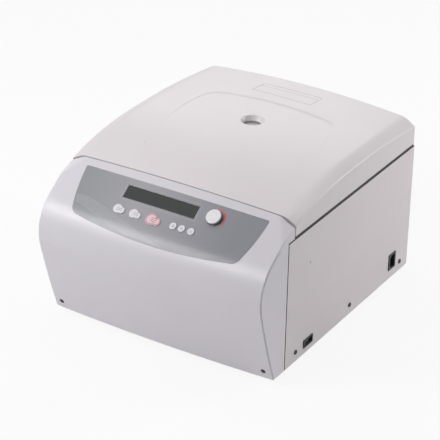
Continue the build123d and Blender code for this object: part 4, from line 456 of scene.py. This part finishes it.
pale_ink = gloss("pale_ink", (0.42, 0.42, 0.46), 0.35, 0.1)
sweep_ink = gloss("sweep_ink", (0.54, 0.56, 0.58), 0.35, 0.1)
red_ink = gloss("red_ink", (0.66, 0.12, 0.13), 0.35, 0.1)
dark_ink = gloss("dark_ink", (0.16, 0.15, 0.17), 0.4, 0.0)
key_ink = gloss("key_ink", (0.44, 0.43, 0.47), 0.4, 0.0)
stop_ink = gloss("stop_ink", (0.74, 0.17, 0.22), 0.35, 0.1)

DISPLAY = (-15.0, 40.2, 136.5, 23.5)      # middle x and s, width and height, in millimetres
FRAME_MARGIN = 7.5
FRAME_LINE = 0.9
frame_line = dense(rounded_rectangle(DISPLAY[0], DISPLAY[1], DISPLAY[2] + FRAME_MARGIN,
                                     DISPLAY[3] + FRAME_MARGIN, 1.0, 2), 4.0)
print_on_panel("display_frame_print", [(frame_line, FRAME_LINE)], pale_ink, closed=True)


def bezier(a, b, c, d, steps=24):
    """Points of a cubic curve from four control points."""
    out = []
    for i in range(steps + 1):
        t = i / steps
        u = 1 - t
        weights = (u ** 3, 3 * u * u * t, 3 * u * t * t, t ** 3)
        out.append(tuple(sum(w * p[k] for w, p in zip(weights, (a, b, c, d))) for k in (0, 1)))
    return out


SWEEP_HIGH = ((-163.5, 70.5), (-128, 65), (-82, 90), (20, 114.5))
SWEEP_LOW = ((-160, 83), (-142, 82), (-96, 106), (-40, 112.5))
SWEEP_COUNT = 7
SWEEP_LINE = 0.5
sweep_lines = []
for i in range(SWEEP_COUNT):
    t = i / (SWEEP_COUNT - 1)
    curve = [tuple(a + (b - a) * t for a, b in zip(high, low)) for high, low in zip(SWEEP_HIGH, SWEEP_LOW)]
    sweep_lines.append((bezier(*curve), SWEEP_LINE))
print_on_panel("sweep_print", sweep_lines, sweep_ink)

KNOB = (86.3, 40.9)
ARC_R = 18.2
ARC_STEPS = 24
ARC_START = 97                     # degrees
ARC_TURN = 125
ARC_THIN = 0.6
ARC_SWELL = 4.0
arc = []
arc_widths = []
for j in range(ARC_STEPS + 1):
    u = j / ARC_STEPS
    a = math.radians(ARC_START - ARC_TURN * u)
    arc.append((KNOB[0] + ARC_R * math.cos(a), KNOB[1] - ARC_R * math.sin(a)))
    arc_widths.append(ARC_THIN + ARC_SWELL * math.sin(math.pi * (0.15 + 0.75 * u)) * (0.35 + 0.65 * u))
print_on_panel("knob_arc_print", [(arc, arc_widths)], red_ink)


# ---------------------------------------------------------------- marks on the keys
def print_on_key(node, lines, shader, closed=False):
    """Printed lines on a key's face, from (x, s) in millimetres over the control panel."""
    made = [(panel_points(path), width * MM) for path, width in lines]
    return print_lines(node + "_print", surface(node), made, -PANEL_OUT, shader, node + "_body", closed)


def bars(x, s, rows, pitch, length, width):
    """A few short level bars under each other, about a point."""
    return [(dense([(x - length / 2, s + k * pitch), (x + length / 2, s + k * pitch)], 1.0), width)
            for k in (i - (rows - 1) / 2 for i in range(rows))]


def two_lobes(x, s, size, inset, steps=60):
    """Outline just inside a lobed key, the union of its two discs."""
    discs = ((x - 3.0 * size, s, 8.0 * size - inset), (x + 5.4 * size, s + 1.5 * size, 5.6 * size - inset))
    out = []
    for (cx, cy, r), (ox, oy, other) in (discs, discs[::-1]):
        facing = math.atan2(oy - cy, ox - cx)
        for i in range(steps):
            a = facing + 2 * math.pi * (i + 0.5) / steps
            spot = (cx + r * math.cos(a), cy + r * math.sin(a))
            if math.hypot(spot[0] - ox, spot[1] - oy) > other:
                out.append(spot)
    return out


KEY_S = 74.8
for node, x in (("start_key", -76.0), ("mode_key", -44.5)):
    print_on_key(node, bars(x, KEY_S, 2, 3.0, 9.0, 1.1), key_ink)
for node, x in (("step_key_1", 27.1), ("step_key_2", 43.2), ("step_key_3", 60.5)):
    print_on_key(node, bars(x, KEY_S, 2, 2.4, 4.6, 1.0), key_ink)
STOP_X = -10.6
STOP_SIZE = 1.28                   # of the lobed key, against the white ones
RING_INSET = 1.5
RING_LINE = 1.3
print_on_key("stop_key", bars(-9.4, KEY_S + 0.4, 3, 3.2, 11.0, 1.1), stop_ink)
ring = panel_points(two_lobes(STOP_X, KEY_S, STOP_SIZE, RING_INSET))
print_lines("stop_key_ring_print", surface("stop_key"), [(ring, RING_LINE * MM)], -PANEL_OUT, stop_ink,
            "stop_key_body", closed=True)


# ---------------------------------------------------------------- lid print
lid_tree = surface("lid_cover")
DOWN = Vector((0, 0, -1))
ABOVE_LID = 0.3
FIELD = [(-68, 182), (-64, 217.5), (51, 219), (49, 180), (-68, 182)]
FIELD_DIVIDER = [(-65.5, 207), (50.5, 207)]
label, divider = ([Vector((x * MM, y * MM, ABOVE_LID)) for x, y in dense(path, 3.0)]
                  for path in (FIELD, FIELD_DIVIDER))
print_lines("lid_field_print", lid_tree, [(label, 0.6 * MM), (divider, 0.4 * MM)], DOWN, dark_ink, "lid")


# ---------------------------------------------------------------- stage, light and camera
FLOOR_GLOW = 0.88
FLOOR_HALF = 12.0
FLOOR_DROP = 0.0002


def stage_floor():
    bm = bmesh.new()
    bmesh.ops.create_grid(bm, x_segments=2, y_segments=2, size=FLOOR_HALF)
    mesh = bpy.data.meshes.new("floor")
    bm.to_mesh(mesh)
    bm.free()
    floor = bpy.data.objects.new("floor", mesh)
    floor.location = (0, 0, -FLOOR_DROP)
    bpy.context.scene.collection.objects.link(floor)
    s = Shader("floor_paper", (0.86, 0.86, 0.86), 0.9)
    s.vary_color(s.spread(s.noise(3.0), 0.0, 1.0), (0.85, 0.85, 0.85))
    glow = s.node("ShaderNodeEmission")
    glow.inputs["Strength"].default_value = 1.0
    mix = s.node("ShaderNodeMixShader")
    path = s.node("ShaderNodeLightPath")
    seen = s.math("MAXIMUM", path.outputs["Is Camera Ray"], path.outputs["Is Glossy Ray"])
    seen = s.math("MAXIMUM", seen, path.outputs["Is Transmission Ray"])
    s.link(s.math("MULTIPLY", seen, FLOOR_GLOW), mix.inputs[0])
    s.link(s.bsdf.outputs[0], mix.inputs[1])
    s.link(glow.outputs[0], mix.inputs[2])
    out = next(n for n in s.tree.nodes if n.type == "OUTPUT_MATERIAL")
    s.link(mix.outputs[0], out.inputs["Surface"])
    mesh.materials.append(s.mat)


stage_floor()

AMBIENT = 0.04


def studio_world():
    """Faint even light, and plain white where the camera, a gloss or a pane sees it."""
    world = bpy.data.worlds.new("studio")
    bpy.context.scene.world = world
    world.use_nodes = True
    tree = world.node_tree
    tree.nodes.clear()
    path = tree.nodes.new("ShaderNodeLightPath")
    ambient = tree.nodes.new("ShaderNodeBackground")
    ambient.inputs["Strength"].default_value = AMBIENT
    white = tree.nodes.new("ShaderNodeBackground")
    white.inputs["Color"].default_value = (1, 1, 1, 1)
    white.inputs["Strength"].default_value = 1.0
    either = tree.nodes.new("ShaderNodeMath")
    seen = tree.nodes.new("ShaderNodeMath")
    either.operation = seen.operation = "MAXIMUM"
    mix = tree.nodes.new("ShaderNodeMixShader")
    out = tree.nodes.new("ShaderNodeOutputWorld")
    for source, target in ((path.outputs["Is Camera Ray"], either.inputs[0]),
                           (path.outputs["Is Glossy Ray"], either.inputs[1]),
                           (either.outputs[0], seen.inputs[0]),
                           (path.outputs["Is Transmission Ray"], seen.inputs[1]),
                           (seen.outputs[0], mix.inputs[0]),
                           (ambient.outputs[0], mix.inputs[1]),
                           (white.outputs[0], mix.inputs[2]),
                           (mix.outputs[0], out.inputs["Surface"])):
        tree.links.new(source, target)


studio_world()


def soft_lamp(name, place, target, size, power):
    data = bpy.data.lights.new(name, "AREA")
    data.shape = "SQUARE"
    data.size = size
    data.energy = power
    lamp = bpy.data.objects.new(name, data)
    lamp.location = place
    lamp.rotation_mode = "QUATERNION"
    lamp.rotation_quaternion = (Vector(target) - Vector(place)).to_track_quat("-Z", "Y")
    bpy.context.scene.collection.objects.link(lamp)


# name, place, target, edge of the square in metres, watts
LAMPS = (
    ("key_lamp", (-1.9, -1.6, 1.5), (0, 0, 0.15), 1.2, 16),
    ("front_lamp", (-1.4, -1.9, 2.0), (0, 0, 0.15), 1.0, 29),
    ("nose_lamp", (-0.6, -2.35, 1.8), (0.1, -0.2, 0.2), 0.35, 8),
    ("left_lamp", (-1.6, 0.5, 2.2), (0, 0, 0.15), 1.2, 10),
    ("top_lamp", (0.2, 0.5, 2.5), (0, 0, 0.15), 1.6, 13),
    ("side_lamp", (1.7, 1.6, 0.9), (0, 0.1, 0.15), 1.0, 28),
    ("rear_lamp", (-1.0, 1.8, 1.3), (0, 0.05, 0.2), 1.2, 5),
)
for lamp in LAMPS:
    soft_lamp(*lamp)


SENSOR = 36.0
FOCAL_PIXELS = 1960.66
PICTURE_PIXELS = 440.0
CAMERA_ANGLES = (31.546, 28.062, 1.198)      # azimuth, elevation and roll in degrees
CAMERA_PLACE = (1.5269, -2.5159, 1.7174)


def photo_camera():
    """Camera at the photograph's angle, from the fit of the cabinet's edges."""
    azimuth, elevation, roll = (math.radians(a) for a in CAMERA_ANGLES)
    right = Vector((math.cos(azimuth), math.sin(azimuth), 0))
    back = Vector((math.sin(azimuth) * math.cos(elevation), -math.cos(azimuth) * math.cos(elevation),
                   math.sin(elevation)))
    up = back.cross(right)
    x_axis = right * math.cos(roll) + up * math.sin(roll)
    y_axis = up * math.cos(roll) - right * math.sin(roll)
    data = bpy.data.cameras.new("photo_camera")
    data.sensor_width = SENSOR
    data.lens = SENSOR * FOCAL_PIXELS / PICTURE_PIXELS
    data.clip_end = 50.0
    camera = bpy.data.objects.new("photo_camera", data)
    turn = Matrix((x_axis, y_axis, back)).transposed()
    camera.matrix_world = Matrix.Translation(CAMERA_PLACE) @ turn.to_4x4()
    bpy.context.scene.collection.objects.link(camera)
    bpy.context.scene.camera = camera


photo_camera()
bpy.context.scene.view_settings.view_transform = "Standard"
